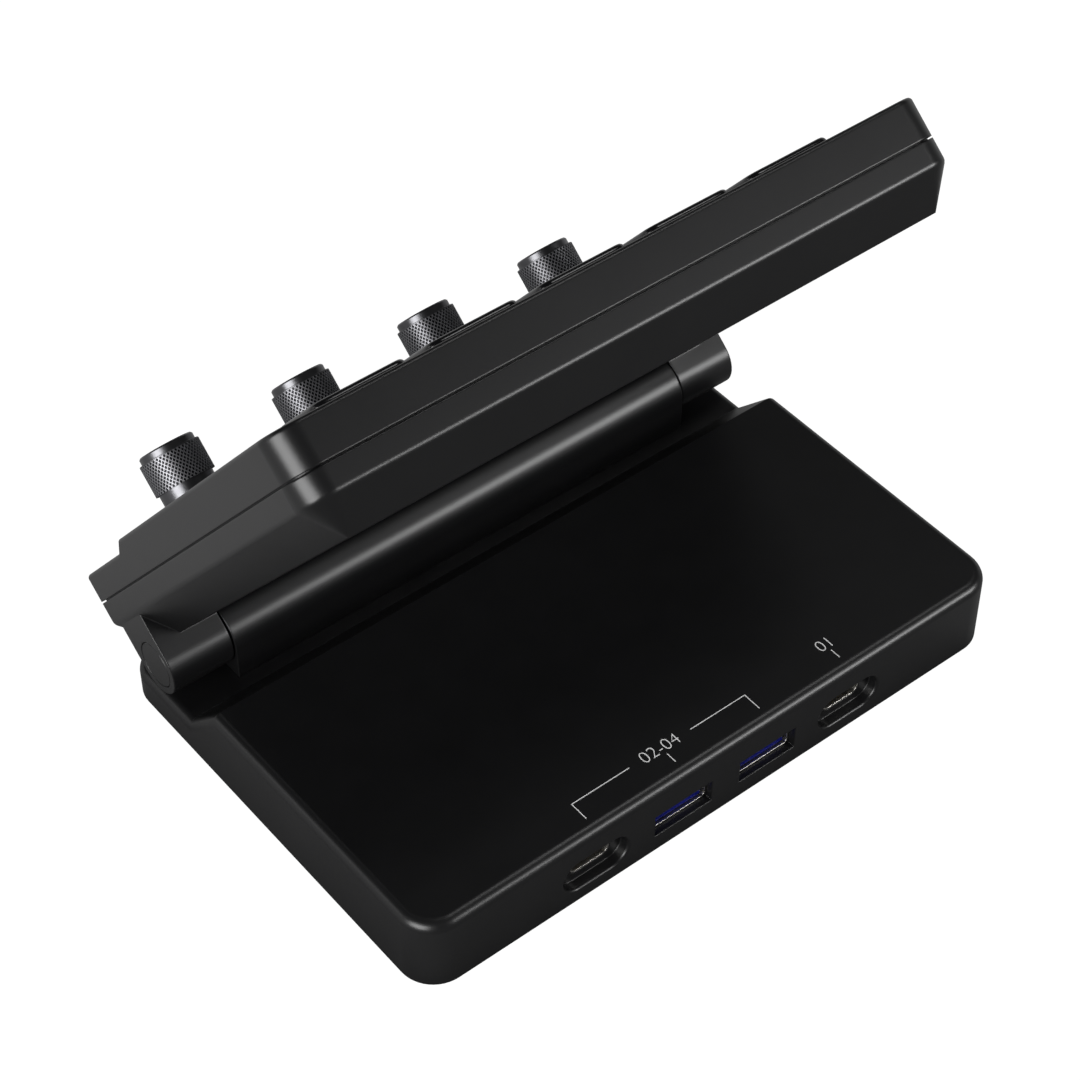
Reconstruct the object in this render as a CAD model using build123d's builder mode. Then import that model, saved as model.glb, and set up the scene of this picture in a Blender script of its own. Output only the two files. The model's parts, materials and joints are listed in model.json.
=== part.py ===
from build123d import *
import os
from math import cos, radians, sin

# Tilting stream controller: a hub base, a friction hinge, and a head with display keys and push dials.
# Sizes are in millimetres. +X is to the user's right, +Y to the rear, +Z up.
# The origin lies on the desk, under the middle of the base's anti-slip pad.

# Clearances and fits
FIXED_GAP = 0.1
PRESS_GAP = 0.02
RUNNING_GAP = 0.05
BOSS_HOLE_GAP = 0.4
OVERRUN = 2.0

# Keys and display
KEY_ROWS = 3
KEY_COLUMNS = 5
KEY_SIZE = 18.5
KEY_SPACING = 4.2
KEY_CORNER = 2.4
KEY_EDGE = 0.9
KEY_PROUD = 1.4
KEY_GAP = 0.25
KEY_FLANGE = 0.9
KEY_FLANGE_HEIGHT = 0.9
KEY_TRAVEL = 0.8
KEY_REST_GAP = 0.1
MEMBRANE_THICKNESS = 0.8
MEMBRANE_SHOULDER = 1.75
FIELD_MARGIN = 0.5
PANEL_THICKNESS = 2.0
BRACKET_WIDTH = 3.0

# Head shells
KEY_END_MARGIN = 11.05
STEP_RUN = 3.4
STEP_DROP = 2.15
LIP_DEPTH = 23.3
HEAD_NOSE = 9.6
HEAD_CORNER = 5.8
HEAD_FRONT_CORNER = 2.0
HEAD_WALL = 2.0
HEAD_ROOF = 1.8
HEAD_FLOOR = 2.0
FLOOR_OVER_AXIS = 3.1
CHAMFER_HEIGHT = 7.1
CHAMFER_INSET = 5.7
BAND_HEIGHT = 4.45
BAND_EDGE = 1.6
SEAM_GAP = 0.35
SEAM_DEPTH = 0.8
TONGUE_HEIGHT = 2.2
UPPER_HEIGHT = 7.7
DECK_EDGE = 0.8

# Screws and bosses that join the head's shells
HEAD_BOSS_RADIUS = 2.7
HEAD_BOSS_JOINT = 1.2
BOSS_KEY_GAP = 0.65
HEAD_SIDE_RIM = 6.5
HEAD_SCREW_ROWS = 3
HEAD_SCREW_REAR_INSET = 10.0
HEAD_SCREW_FRONT_INSET = 30.8
HEAD_HEAD_RADIUS = 1.9
HEAD_HEAD_HEIGHT = 1.3
HEAD_HEAD_DEPTH = 1.0
HEAD_SHANK_RADIUS = 1.0
HEAD_PILOT_DEPTH = 4.0

# Main board in the head
BOARD_THICKNESS = 1.6
MAIN_BOARD_ROOM = 1.2
MAIN_BOARD_MARGIN = 0.9
MAIN_CHIP_SIZE = 10.0
MAIN_CHIP_HEIGHT = 1.2
BOARD_SCREW_INSET = 10.15
BOARD_POST_RADIUS = 2.6
BOARD_SCREW_HEAD_RADIUS = 1.8
BOARD_SCREW_HEAD_HEIGHT = 1.1
BOARD_SCREW_SHANK_RADIUS = 0.9
BOARD_SCREW_SHANK_LENGTH = 4.5

# Dials and push encoders
DIAL_COUNT = 4
DIAL_SIDE_MARGIN = 23.25
DIAL_FROM_FRONT = 8.8
DIAL_RADIUS = 6.2
DIAL_BAND = 6.4
DIAL_RIM = 1.45
DIAL_RIM_STEP = 0.6
DIAL_BEVEL = 0.3
DIAL_NECK = 5.65
DIAL_NECK_STEP = 0.6
DIAL_TRAVEL = 0.5
DIAL_LIP_GAP = 0.3
DIAL_ROOF = 2.6
DIAL_SOCKET_GAP = 0.4
DIAL_SOCKET_ROOM = 0.75
SHAFT_RADIUS = 3.0
BUSHING_WALL = 0.5
BUSHING_PROUD = 0.85
ENCODER_SIZE = 11.6
ENCODER_TOP_GAP = 0.35
ENCODER_FLOOR = 1.4
PLUNGER_HEIGHT = 0.6
PLUNGER_STOP_GAP = 0.2

# Hinge
TILT = 50.8
FOLD_GAP = 0.9
LUG_RADIUS = 6.05
LUG_WIDTH = 13.1
LUG_INSET = 0.2
LUG_SIDE_GAP = 0.4
LUG_SHELF_GAP = 1.25
PIN_RADIUS = 2.45
PIN_IN_BARREL = 13.0
PIN_IN_LUG = 4.6
CAP_RIM = 1.35
CAP_SHOULDER = 0.6
CAP_THICKNESS = 1.6
BUSH_WALL = 1.45
BUSH_LENGTH = 11.0
BUSH_SLIT = 1.2
BARREL_STEP = 0.35
BARREL_FRONT_ROOM = 5.3
BARREL_REAR_ROOM = 3.0
CHANNEL_GAP = 0.55
CHANNEL_WALL = 1.8
BARREL_SCREW_COUNT = 3
BARREL_SCREW_PITCH = 32.0
BARREL_SCREW_COVER = 1.0
BARREL_HEAD_RADIUS = 2.0
BARREL_HEAD_HEIGHT = 1.2
BARREL_SHANK_RADIUS = 1.0

# Base shell
HEAD_OVERHANG = 0.4
BASE_DEPTH = 93.2
BASE_CORNER = 7.1
BASE_EDGE = 2.1
BASE_WALL = 2.0
BASE_ROOF = 2.0
REAR_WALL = 3.8
SHELF_ROOM = 3.2
SLOPE_RUN = 9.1
SLOPE_WALL = 2.6

# Bottom cover, pad and cover screws
COVER_THICKNESS = 1.6
PAD_PROUD = 0.8
PAD_SEAT = 0.6
PAD_MARGIN = 14.0
PAD_CORNER = 6.0
BASE_SCREW_INSET = 7.4
BASE_BOSS_RADIUS = 3.0
BASE_HEAD_RADIUS = 1.8
BASE_HEAD_HEIGHT = 0.8
BASE_SHANK_RADIUS = 0.9

# Hub board
BOARD_STANDOFF = 0.8
STANDOFF_RADIUS = 2.2
STANDOFF_INSET = 6.0
HUB_SIDE_GAP = 15.7
HUB_FRONT_GAP = 2.5
HUB_REAR_GAP = 0.7
HUB_CHIP_SIZE = 8.0
HUB_CHIP_HEIGHT = 0.9
HUB_COIL_SIZE = 6.0
HUB_COIL_HEIGHT = 3.0
HUB_COIL_SHARE = 0.25

# Sockets
PORT_PITCH = 20.0
SOCKET_SETBACK = 2.2
TONGUE_BACK = 2.5
USB_A_WIDTH = 13.4
USB_A_HEIGHT = 5.4
USB_A_LENGTH = 13.0
USB_A_SHEET = 0.35
USB_A_BEND = 0.6
USB_A_SETBACK = 1.6
TONGUE_A_SIDE_GAP = 0.65
TONGUE_A_THICKNESS = 1.9
TONGUE_A_LIFT = 0.45
TONGUE_A_SETBACK = 0.5
USB_C_WIDTH = 8.9
USB_C_HEIGHT = 3.2
USB_C_LENGTH = 7.4
USB_C_SHEET = 0.3
USB_C_FOOT = 2.4
TONGUE_C_SIDE_GAP = 0.85
TONGUE_C_THICKNESS = 0.7
TONGUE_C_SETBACK = 0.8
RECESS_WIDTH = 14.6
RECESS_HEIGHT = 7.2
RECESS_EDGE = 0.6

# Link cable
CABLE_RADIUS = 0.8
CABLE_BEND = 2.5
CABLE_HOLE_GAP = 0.4
CABLE_PIN_GAP = 0.5
CABLE_MEET_GAP = 5.4
CABLE_LUG_SHARE = 0.5
CABLE_BASE_SHARE = 0.65

# Outline of the head, set by the keys and the bosses beside them
KEY_PITCH = KEY_SIZE + KEY_SPACING
KEY_BLOCK_WIDTH = KEY_COLUMNS * KEY_PITCH - KEY_SPACING
KEY_BLOCK_DEPTH = KEY_ROWS * KEY_PITCH - KEY_SPACING
KEY_SIDE_MARGIN = KEY_FLANGE + BOSS_KEY_GAP + 2 * HEAD_BOSS_RADIUS + HEAD_SIDE_RIM
HEAD_WIDTH = KEY_BLOCK_WIDTH + 2 * KEY_SIDE_MARGIN
DIAL_PITCH = (HEAD_WIDTH - 2 * DIAL_SIDE_MARGIN) / (DIAL_COUNT - 1)
DECK_DEPTH = KEY_BLOCK_DEPTH + 2 * KEY_END_MARGIN
HEAD_DEPTH = DECK_DEPTH + STEP_RUN + LIP_DEPTH
BASE_WIDTH = HEAD_WIDTH - 2 * HEAD_OVERHANG

# Levels of the base, from the desk up to the plateau that the folded head lies over
BASE_BOTTOM = PAD_PROUD
COVER_TOP = BASE_BOTTOM + COVER_THICKNESS
SHELF_UNDER = COVER_TOP + SHELF_ROOM
SHELF_TOP = SHELF_UNDER + BASE_ROOF
HINGE_Z = SHELF_TOP + LUG_SHELF_GAP + LUG_RADIUS
BASE_TOP = HINGE_Z + FLOOR_OVER_AXIS - FOLD_GAP
BASE_HEIGHT = BASE_TOP - BASE_BOTTOM
HUB_BOTTOM = COVER_TOP + BOARD_STANDOFF
HUB_TOP = HUB_BOTTOM + BOARD_THICKNESS
SHELL_A_WIDTH = USB_A_WIDTH - 2 * FIXED_GAP
SHELL_A_HEIGHT = USB_A_HEIGHT - 2 * FIXED_GAP
PORT_Z = HUB_TOP + SHELL_A_HEIGHT / 2

# Hinge radii, from the cable in the hollow pins outwards
PIN_BORE = CABLE_RADIUS + CABLE_PIN_GAP
BARREL_BORE = PIN_RADIUS + BUSH_WALL
BUSH_RADIUS = BARREL_BORE - PRESS_GAP
BARREL_RADIUS = LUG_RADIUS + BARREL_STEP
CHANNEL_RADIUS = BARREL_RADIUS + CHANNEL_GAP
CAP_RADIUS = LUG_RADIUS - CAP_RIM
POCKET_RADIUS = CAP_RADIUS - CAP_SHOULDER

# Places along the base, from front to rear
BASE_FRONT = -BASE_DEPTH / 2
BASE_REAR = BASE_DEPTH / 2
HINGE_Y = BASE_FRONT + BARREL_FRONT_ROOM + BARREL_RADIUS
SLOPE_FOOT = HINGE_Y + BARREL_RADIUS + BARREL_REAR_ROOM
SLOPE_TOP = SLOPE_FOOT + SLOPE_RUN
CAVITY_FRONT = BASE_FRONT + BASE_WALL
CAVITY_REAR = BASE_REAR - REAR_WALL
HUB_FRONT = SLOPE_TOP + HUB_FRONT_GAP
HUB_REAR = CAVITY_REAR - HUB_REAR_GAP
HUB_MIDDLE = (HUB_FRONT + HUB_REAR) / 2
HUB_DEPTH = HUB_REAR - HUB_FRONT
HUB_WIDTH = BASE_WIDTH - 2 * HUB_SIDE_GAP

# Places along the hinge axis, out from the middle
LUG_OUTER = BASE_WIDTH / 2 - LUG_INSET
LUG_INNER = LUG_OUTER - LUG_WIDTH
BARREL_END = LUG_INNER - LUG_SIDE_GAP
BUSH_OUTER = BARREL_END - FIXED_GAP
PIN_INNER = LUG_INNER - PIN_IN_BARREL
PIN_OUTER = LUG_INNER + PIN_IN_LUG
POCKET_OUTER = LUG_OUTER - CAP_THICKNESS
CABLE_LUG_X = PIN_OUTER + (POCKET_OUTER - PIN_OUTER) * CABLE_LUG_SHARE
CABLE_MEET_X = PIN_INNER - CABLE_MEET_GAP
CABLE_BASE_X = BARREL_SCREW_PITCH * CABLE_BASE_SHARE

# The head's own frame: x along the hinge axis, y to the rear over the deck, z out of the deck
HEAD_UP = (0, -sin(radians(TILT)), cos(radians(TILT)))
HEAD_REARWARD = (0, cos(radians(TILT)), sin(radians(TILT)))
HEAD = Plane(origin=(0, HINGE_Y, HINGE_Z), x_dir=(1, 0, 0), z_dir=HEAD_UP)
HEAD_SIDE = Plane(origin=(0, HINGE_Y, HINGE_Z), x_dir=HEAD_REARWARD, z_dir=(1, 0, 0))
REAR_FACE = Plane(origin=(0, BASE_REAR, PORT_Z), x_dir=(-1, 0, 0), z_dir=(0, 1, 0))
SOCKET_PLANE = REAR_FACE.offset(-SOCKET_SETBACK)
USB_A_PLANE = REAR_FACE.offset(-USB_A_SETBACK)

# Levels of the head over the hinge axis
FLOOR = FLOOR_OVER_AXIS
FLOOR_TOP = FLOOR + HEAD_FLOOR
BAND_FOOT = FLOOR + CHAMFER_HEIGHT
SEAM_LOW = BAND_FOOT + BAND_HEIGHT
SEAM_HIGH = SEAM_LOW + SEAM_GAP
TONGUE_TOP = SEAM_LOW + TONGUE_HEIGHT
DECK = SEAM_HIGH + UPPER_HEIGHT
DECK_UNDER = DECK - HEAD_ROOF
LIP = DECK - STEP_DROP
LIP_UNDER = LIP - HEAD_ROOF
KEY_TOP = DECK + KEY_PROUD
KEY_BOTTOM = DECK_UNDER - KEY_REST_GAP - KEY_FLANGE_HEIGHT
MEMBRANE_TOP = KEY_BOTTOM - KEY_TRAVEL - KEY_REST_GAP
PANEL_TOP = MEMBRANE_TOP - MEMBRANE_THICKNESS
PANEL_BOTTOM = PANEL_TOP - PANEL_THICKNESS
MAIN_BOTTOM = BAND_FOOT + MAIN_BOARD_ROOM
MAIN_TOP = MAIN_BOTTOM + BOARD_THICKNESS
BOSS_JOINT = MAIN_TOP + HEAD_BOSS_JOINT

# Levels of the dials and their encoders
BUSHING_RADIUS = SHAFT_RADIUS + BUSHING_WALL
BUSHING_END = LIP + BUSHING_PROUD
ENCODER_TOP = LIP_UNDER - ENCODER_TOP_GAP
BORE_BOTTOM = MAIN_TOP + ENCODER_FLOOR
PLUNGER_BOTTOM = BORE_BOTTOM + DIAL_TRAVEL + PLUNGER_STOP_GAP
SHAFT_BOTTOM = PLUNGER_BOTTOM + PLUNGER_HEIGHT + RUNNING_GAP
DIAL_BOTTOM = LIP + DIAL_TRAVEL + DIAL_LIP_GAP
SOCKET_TOP = BUSHING_END + DIAL_TRAVEL + DIAL_SOCKET_ROOM
BAND_LOW = DIAL_BOTTOM + DIAL_NECK
BAND_HIGH = BAND_LOW + DIAL_BAND
DIAL_TOP = BAND_HIGH + DIAL_RIM
SHAFT_TOP = DIAL_TOP - DIAL_ROOF

# Places over the head
HEAD_FRONT = -HEAD_NOSE
HEAD_REAR = HEAD_FRONT + HEAD_DEPTH
HEAD_MIDDLE = (HEAD_REAR + HEAD_FRONT) / 2
STEP_HIGH = HEAD_REAR - DECK_DEPTH
STEP_LOW = STEP_HIGH - STEP_RUN
KEYS_Y = HEAD_REAR - DECK_DEPTH / 2
DIAL_Y = HEAD_FRONT + DIAL_FROM_FRONT
FIELD_WIDTH = KEY_BLOCK_WIDTH + 2 * FIELD_MARGIN
FIELD_DEPTH = KEY_BLOCK_DEPTH + 2 * FIELD_MARGIN
BOARD_SCREW_X = FIELD_WIDTH / 2 - BRACKET_WIDTH - BOARD_SCREW_INSET
BOARD_SCREW_Y = FIELD_DEPTH / 2 - BRACKET_WIDTH - BOARD_SCREW_INSET
HEAD_SCREW_X = HEAD_WIDTH / 2 - HEAD_SIDE_RIM - HEAD_BOSS_RADIUS
HEAD_SCREW_REAR = HEAD_REAR - HEAD_SCREW_REAR_INSET
HEAD_SCREW_FRONT = HEAD_FRONT + HEAD_SCREW_FRONT_INSET
HEAD_SCREW_STEP = (HEAD_SCREW_REAR - HEAD_SCREW_FRONT) / (HEAD_SCREW_ROWS - 1)

# Patterns of places, on the head, on the base and on its rear face
HEAD_SCREWS = [
    (side * HEAD_SCREW_X, HEAD_SCREW_FRONT + row * HEAD_SCREW_STEP)
    for side in (-1, 1)
    for row in range(HEAD_SCREW_ROWS)
]
BOARD_SCREWS = [(x * BOARD_SCREW_X, KEYS_Y + y * BOARD_SCREW_Y) for x in (-1, 1) for y in (-1, 1)]
DIALS = [((place - (DIAL_COUNT - 1) / 2) * DIAL_PITCH, DIAL_Y) for place in range(DIAL_COUNT)]
BASE_SCREWS = [
    (x * (BASE_WIDTH / 2 - BASE_SCREW_INSET), y * (BASE_DEPTH / 2 - BASE_SCREW_INSET))
    for x in (-1, 1)
    for y in (-1, 1)
]
BARREL_SCREWS = [
    ((place - (BARREL_SCREW_COUNT - 1) / 2) * BARREL_SCREW_PITCH, HINGE_Y)
    for place in range(BARREL_SCREW_COUNT)
]
USB_A_PLACES = [(side * PORT_PITCH / 2, 0) for side in (-1, 1)]
USB_C_PLACES = [(side * PORT_PITCH * 3 / 2, 0) for side in (-1, 1)]
CABLE_PLACES = [(CABLE_BASE_X, HINGE_Y)]


# Helpers, used inside a part's block


def slab(plane, width, depth, radius, height, mode=Mode.ADD):
    """A plate with rounded corners, standing on the plane."""
    with BuildSketch(plane) as outline:
        RectangleRounded(width, depth, radius)
    extrude(outline.sketch, amount=height, mode=mode)


def blocks(plane, places, width, depth, height, mode=Mode.ADD):
    """A square-cornered block at each place on the plane."""
    with BuildSketch(plane) as outline:
        with Locations(*places):
            Rectangle(width, depth)
    extrude(outline.sketch, amount=height, mode=mode)


def bent_blocks(plane, places, width, depth, corner, height, mode=Mode.ADD):
    """A block with rounded corners at each place on the plane, as sheet metal is bent."""
    with BuildSketch(plane) as outline:
        with Locations(*places):
            RectangleRounded(width, depth, corner)
    extrude(outline.sketch, amount=height, mode=mode)


def slots(plane, places, width, depth, height, mode=Mode.ADD):
    """A block with round ends at each place on the plane."""
    with BuildSketch(plane) as outline:
        with Locations(*places):
            SlotOverall(width, depth)
    extrude(outline.sketch, amount=height, mode=mode)


def posts(plane, places, radius, height, mode=Mode.ADD):
    """A round post at each place on the plane."""
    with BuildSketch(plane) as rounds:
        with Locations(*places):
            Circle(radius)
    extrude(rounds.sketch, amount=height, mode=mode)


def screws(plane, places, head_radius, head_height, shank_radius, shank_length):
    """Pan-head screws whose heads' tops lie on the plane and whose shanks point along its normal."""
    posts(plane, places, head_radius, head_height)
    posts(plane.offset(head_height), places, shank_radius, shank_length)


def axle(radius, inner, outer, sides=(-1, 1), mode=Mode.ADD):
    """A round bar on the hinge axis, from one distance to another out from the middle, on each side."""
    for side in sides:
        with BuildSketch(HEAD_SIDE.offset(side * inner)) as round_end:
            Circle(radius)
        extrude(round_end.sketch, amount=side * (outer - inner), mode=mode)


def head_outline(level, inset):
    """The head's outline at a level, set in by a wall: round corners at the rear, small ones in front."""
    middle = HEAD.from_local_coords((0, HEAD_MIDDLE, level))
    with BuildSketch(Plane(middle, x_dir=(1, 0, 0), z_dir=HEAD_UP)) as outline:
        Rectangle(HEAD_WIDTH - 2 * inset, HEAD_DEPTH - 2 * inset)
        fillet(outline.vertices().sort_by(Axis.Y)[:2], max(HEAD_FRONT_CORNER - inset, FIXED_GAP))
        fillet(outline.vertices().sort_by(Axis.Y)[-2:], max(HEAD_CORNER - inset, FIXED_GAP))
    return outline.sketch


def head_slab(level, inset, height, mode=Mode.ADD):
    """A slab with the head's outline, set in by a wall, standing on a level of the head."""
    extrude(head_outline(level, inset), amount=height, mode=mode)


def head_step(lip, deck):
    """Cuts the open part down to a lip at the head's front, with a slope up to the deck."""
    with BuildSketch(HEAD_SIDE) as step:
        with BuildLine():
            Polyline(
                (HEAD_FRONT - OVERRUN, lip),
                (STEP_LOW, lip),
                (STEP_HIGH, deck),
                (STEP_HIGH, deck + OVERRUN),
                (HEAD_FRONT - OVERRUN, deck + OVERRUN),
                close=True,
            )
        make_face()
    extrude(step.sketch, amount=HEAD_WIDTH, both=True, mode=Mode.SUBTRACT)


def field_plane(level, x=0, y=0):
    """The plane at a level of the head, centred on the keys or away from there by x and y."""
    return Plane(HEAD.from_local_coords((x, KEYS_Y + y, level)), x_dir=(1, 0, 0), z_dir=HEAD_UP)


def finish(piece, name):
    """Labels a finished piece and writes its file."""
    piece.part.label = name
    export_step(piece.part, f"parts/{name}.step")


os.makedirs("parts", exist_ok=True)

# Base cavity: the room under the plateau, the slope and the shelf
SLOPE_LEAN = SLOPE_RUN / (BASE_TOP - SHELF_TOP)
with BuildPart() as base_cavity:
    slab(
        Plane((0, (CAVITY_REAR + CAVITY_FRONT) / 2, BASE_BOTTOM)),
        BASE_WIDTH - 2 * BASE_WALL,
        CAVITY_REAR - CAVITY_FRONT,
        BASE_CORNER - BASE_WALL,
        BASE_HEIGHT - BASE_ROOF,
    )
    with BuildSketch(Plane.YZ):
        with BuildLine():
            Polyline(
                (BASE_FRONT, SHELF_UNDER),
                (SLOPE_FOOT - BASE_ROOF * SLOPE_LEAN + SLOPE_WALL, SHELF_UNDER),
                (SLOPE_TOP + SLOPE_WALL, BASE_TOP),
                (BASE_FRONT, BASE_TOP),
                close=True,
            )
        make_face()
    extrude(amount=BASE_WIDTH, both=True, mode=Mode.SUBTRACT)

# Base top shell
with BuildPart() as base_top_shell:
    slab(Plane.XY.offset(BASE_BOTTOM), BASE_WIDTH, BASE_DEPTH, BASE_CORNER, BASE_HEIGHT)
    with BuildSketch(Plane.YZ):
        with BuildLine():
            Polyline(
                (BASE_FRONT - OVERRUN, SHELF_TOP),
                (SLOPE_FOOT, SHELF_TOP),
                (SLOPE_TOP, BASE_TOP),
                (SLOPE_TOP, BASE_TOP + OVERRUN),
                (BASE_FRONT - OVERRUN, BASE_TOP + OVERRUN),
                close=True,
            )
        make_face()
    extrude(amount=BASE_WIDTH, both=True, mode=Mode.SUBTRACT)
    upper_edges = base_top_shell.edges().filter_by(Axis.Z, reverse=True).filter_by_position(
        Axis.Z, BASE_BOTTOM, BASE_TOP, inclusive=(False, True)
    )
    creases = upper_edges.filter_by(Axis.X).filter_by_position(Axis.Y, SLOPE_FOOT, SLOPE_TOP)
    fillet([edge for edge in upper_edges if edge not in creases], BASE_EDGE)
    add(base_cavity.part, mode=Mode.SUBTRACT)
    blocks(REAR_FACE, USB_A_PLACES, USB_A_WIDTH, USB_A_HEIGHT, -REAR_WALL - OVERRUN, Mode.SUBTRACT)
    slots(REAR_FACE, USB_C_PLACES, RECESS_WIDTH, RECESS_HEIGHT, -SOCKET_SETBACK, Mode.SUBTRACT)
    rear_openings = base_top_shell.faces().filter_by(Axis.Y).sort_by(Axis.Y)[-1].inner_wires()
    recess_rims = [rim for rim in rear_openings if rim.edges().filter_by(GeomType.CIRCLE)]
    fillet([edge for rim in recess_rims for edge in rim.edges()], RECESS_EDGE)
    slots(
        REAR_FACE,
        USB_C_PLACES,
        USB_C_WIDTH + 2 * FIXED_GAP,
        USB_C_HEIGHT + 2 * FIXED_GAP,
        -REAR_WALL - OVERRUN,
        Mode.SUBTRACT,
    )
    front_screws = [place for place in BASE_SCREWS if place[1] < 0]
    rear_screws = [place for place in BASE_SCREWS if place[1] > 0]
    posts(Plane.XY.offset(COVER_TOP), front_screws, BASE_BOSS_RADIUS, SHELF_ROOM)
    posts(Plane.XY.offset(COVER_TOP), rear_screws, BASE_BOSS_RADIUS, BASE_TOP - BASE_ROOF - COVER_TOP)
    posts(Plane.XY.offset(COVER_TOP), BASE_SCREWS, BASE_SHANK_RADIUS + PRESS_GAP, SHELF_ROOM, Mode.SUBTRACT)
    posts(
        Plane.XY.offset(SHELF_UNDER), BARREL_SCREWS, BARREL_SHANK_RADIUS + FIXED_GAP, BASE_ROOF, Mode.SUBTRACT
    )
    posts(Plane.XY.offset(SHELF_UNDER), CABLE_PLACES, CABLE_RADIUS + CABLE_HOLE_GAP, BASE_ROOF, Mode.SUBTRACT)
finish(base_top_shell, "base_top_shell")

# Base bottom cover
COVER_GAP = BASE_WALL + FIXED_GAP
with BuildPart() as base_bottom_cover:
    slab(
        Plane((0, (CAVITY_REAR + CAVITY_FRONT) / 2, BASE_BOTTOM)),
        BASE_WIDTH - 2 * COVER_GAP,
        CAVITY_REAR - CAVITY_FRONT - 2 * FIXED_GAP,
        BASE_CORNER - COVER_GAP,
        COVER_THICKNESS,
    )
    slab(
        Plane.XY.offset(BASE_BOTTOM),
        BASE_WIDTH - 2 * PAD_MARGIN + 2 * FIXED_GAP,
        BASE_DEPTH - 2 * PAD_MARGIN + 2 * FIXED_GAP,
        PAD_CORNER + FIXED_GAP,
        PAD_SEAT,
        Mode.SUBTRACT,
    )
    standoffs = [
        (x * (HUB_WIDTH / 2 - STANDOFF_INSET), HUB_MIDDLE + y * (HUB_DEPTH / 2 - STANDOFF_INSET))
        for x in (-1, 1)
        for y in (-1, 1)
    ]
    posts(Plane.XY.offset(COVER_TOP), standoffs, STANDOFF_RADIUS, BOARD_STANDOFF)
    posts(
        Plane.XY.offset(BASE_BOTTOM),
        BASE_SCREWS,
        BASE_HEAD_RADIUS + FIXED_GAP,
        BASE_HEAD_HEIGHT + FIXED_GAP,
        Mode.SUBTRACT,
    )
    posts(
        Plane.XY.offset(BASE_BOTTOM),
        BASE_SCREWS,
        BASE_SHANK_RADIUS + FIXED_GAP,
        COVER_THICKNESS,
        Mode.SUBTRACT,
    )
finish(base_bottom_cover, "base_bottom_cover")

# Anti-slip pad
with BuildPart() as anti_slip_pad:
    slab(
        Plane.XY,
        BASE_WIDTH - 2 * PAD_MARGIN,
        BASE_DEPTH - 2 * PAD_MARGIN,
        PAD_CORNER,
        PAD_PROUD + PAD_SEAT,
    )
finish(anti_slip_pad, "anti_slip_pad")

# Screws that hold the cover
with BuildPart() as base_screws:
    screws(
        Plane.XY.offset(BASE_BOTTOM + FIXED_GAP),
        BASE_SCREWS,
        BASE_HEAD_RADIUS,
        BASE_HEAD_HEIGHT,
        BASE_SHANK_RADIUS,
        SHELF_UNDER - BASE_BOTTOM - BASE_HEAD_HEIGHT - 2 * FIXED_GAP,
    )
finish(base_screws, "base_screws")

# Hub board and the parts soldered to it
with BuildPart() as hub_board:
    blocks(Plane.XY.offset(HUB_BOTTOM), [(0, HUB_MIDDLE)], HUB_WIDTH, HUB_DEPTH, BOARD_THICKNESS)
finish(hub_board, "hub_board")

with BuildPart() as hub_chips:
    coil_x = HUB_WIDTH * HUB_COIL_SHARE
    blocks(Plane.XY.offset(HUB_TOP), [(0, HUB_MIDDLE)], HUB_CHIP_SIZE, HUB_CHIP_SIZE, HUB_CHIP_HEIGHT)
    coils = [(-coil_x, HUB_MIDDLE), (coil_x, HUB_MIDDLE)]
    blocks(Plane.XY.offset(HUB_TOP), coils, HUB_COIL_SIZE, HUB_COIL_SIZE, HUB_COIL_HEIGHT)
finish(hub_chips, "hub_chips")

# USB-A sockets
INNER_A_WIDTH = SHELL_A_WIDTH - 2 * USB_A_SHEET
INNER_A_HEIGHT = SHELL_A_HEIGHT - 2 * USB_A_SHEET
with BuildPart() as usb_a_shells:
    outer_bend = USB_A_BEND + USB_A_SHEET
    bent_blocks(USB_A_PLANE, USB_A_PLACES, SHELL_A_WIDTH, SHELL_A_HEIGHT, outer_bend, -USB_A_LENGTH)
    bent_blocks(
        USB_A_PLANE,
        USB_A_PLACES,
        INNER_A_WIDTH,
        INNER_A_HEIGHT,
        USB_A_BEND,
        -USB_A_LENGTH,
        Mode.SUBTRACT,
    )
finish(usb_a_shells, "usb_a_shells")

with BuildPart() as usb_a_tongues:
    tongue_rise = TONGUE_A_LIFT + TONGUE_A_THICKNESS / 2 - INNER_A_HEIGHT / 2
    tongue_places = [(x, tongue_rise) for x, y in USB_A_PLACES]
    blocks(
        USB_A_PLANE.offset(-TONGUE_A_SETBACK),
        tongue_places,
        INNER_A_WIDTH - 2 * TONGUE_A_SIDE_GAP,
        TONGUE_A_THICKNESS,
        TONGUE_A_SETBACK - USB_A_LENGTH,
    )
    bent_blocks(
        USB_A_PLANE.offset(-USB_A_LENGTH),
        USB_A_PLACES,
        INNER_A_WIDTH - 2 * PRESS_GAP,
        INNER_A_HEIGHT - 2 * PRESS_GAP,
        USB_A_BEND - PRESS_GAP,
        TONGUE_BACK,
    )
finish(usb_a_tongues, "usb_a_tongues")

# USB-C sockets
INNER_C_WIDTH = USB_C_WIDTH - 2 * USB_C_SHEET
INNER_C_HEIGHT = USB_C_HEIGHT - 2 * USB_C_SHEET
C_FOOT_HEIGHT = PORT_Z - HUB_TOP
with BuildPart() as usb_c_shells:
    slots(SOCKET_PLANE, USB_C_PLACES, USB_C_WIDTH, USB_C_HEIGHT, -USB_C_LENGTH)
    blocks(
        SOCKET_PLANE.offset(-USB_C_LENGTH),
        [(x, -C_FOOT_HEIGHT / 2) for x, y in USB_C_PLACES],
        USB_C_WIDTH - USB_C_HEIGHT,
        C_FOOT_HEIGHT,
        USB_C_FOOT,
    )
    slots(
        SOCKET_PLANE,
        USB_C_PLACES,
        INNER_C_WIDTH,
        INNER_C_HEIGHT,
        -USB_C_LENGTH,
        Mode.SUBTRACT,
    )
finish(usb_c_shells, "usb_c_shells")

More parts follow.
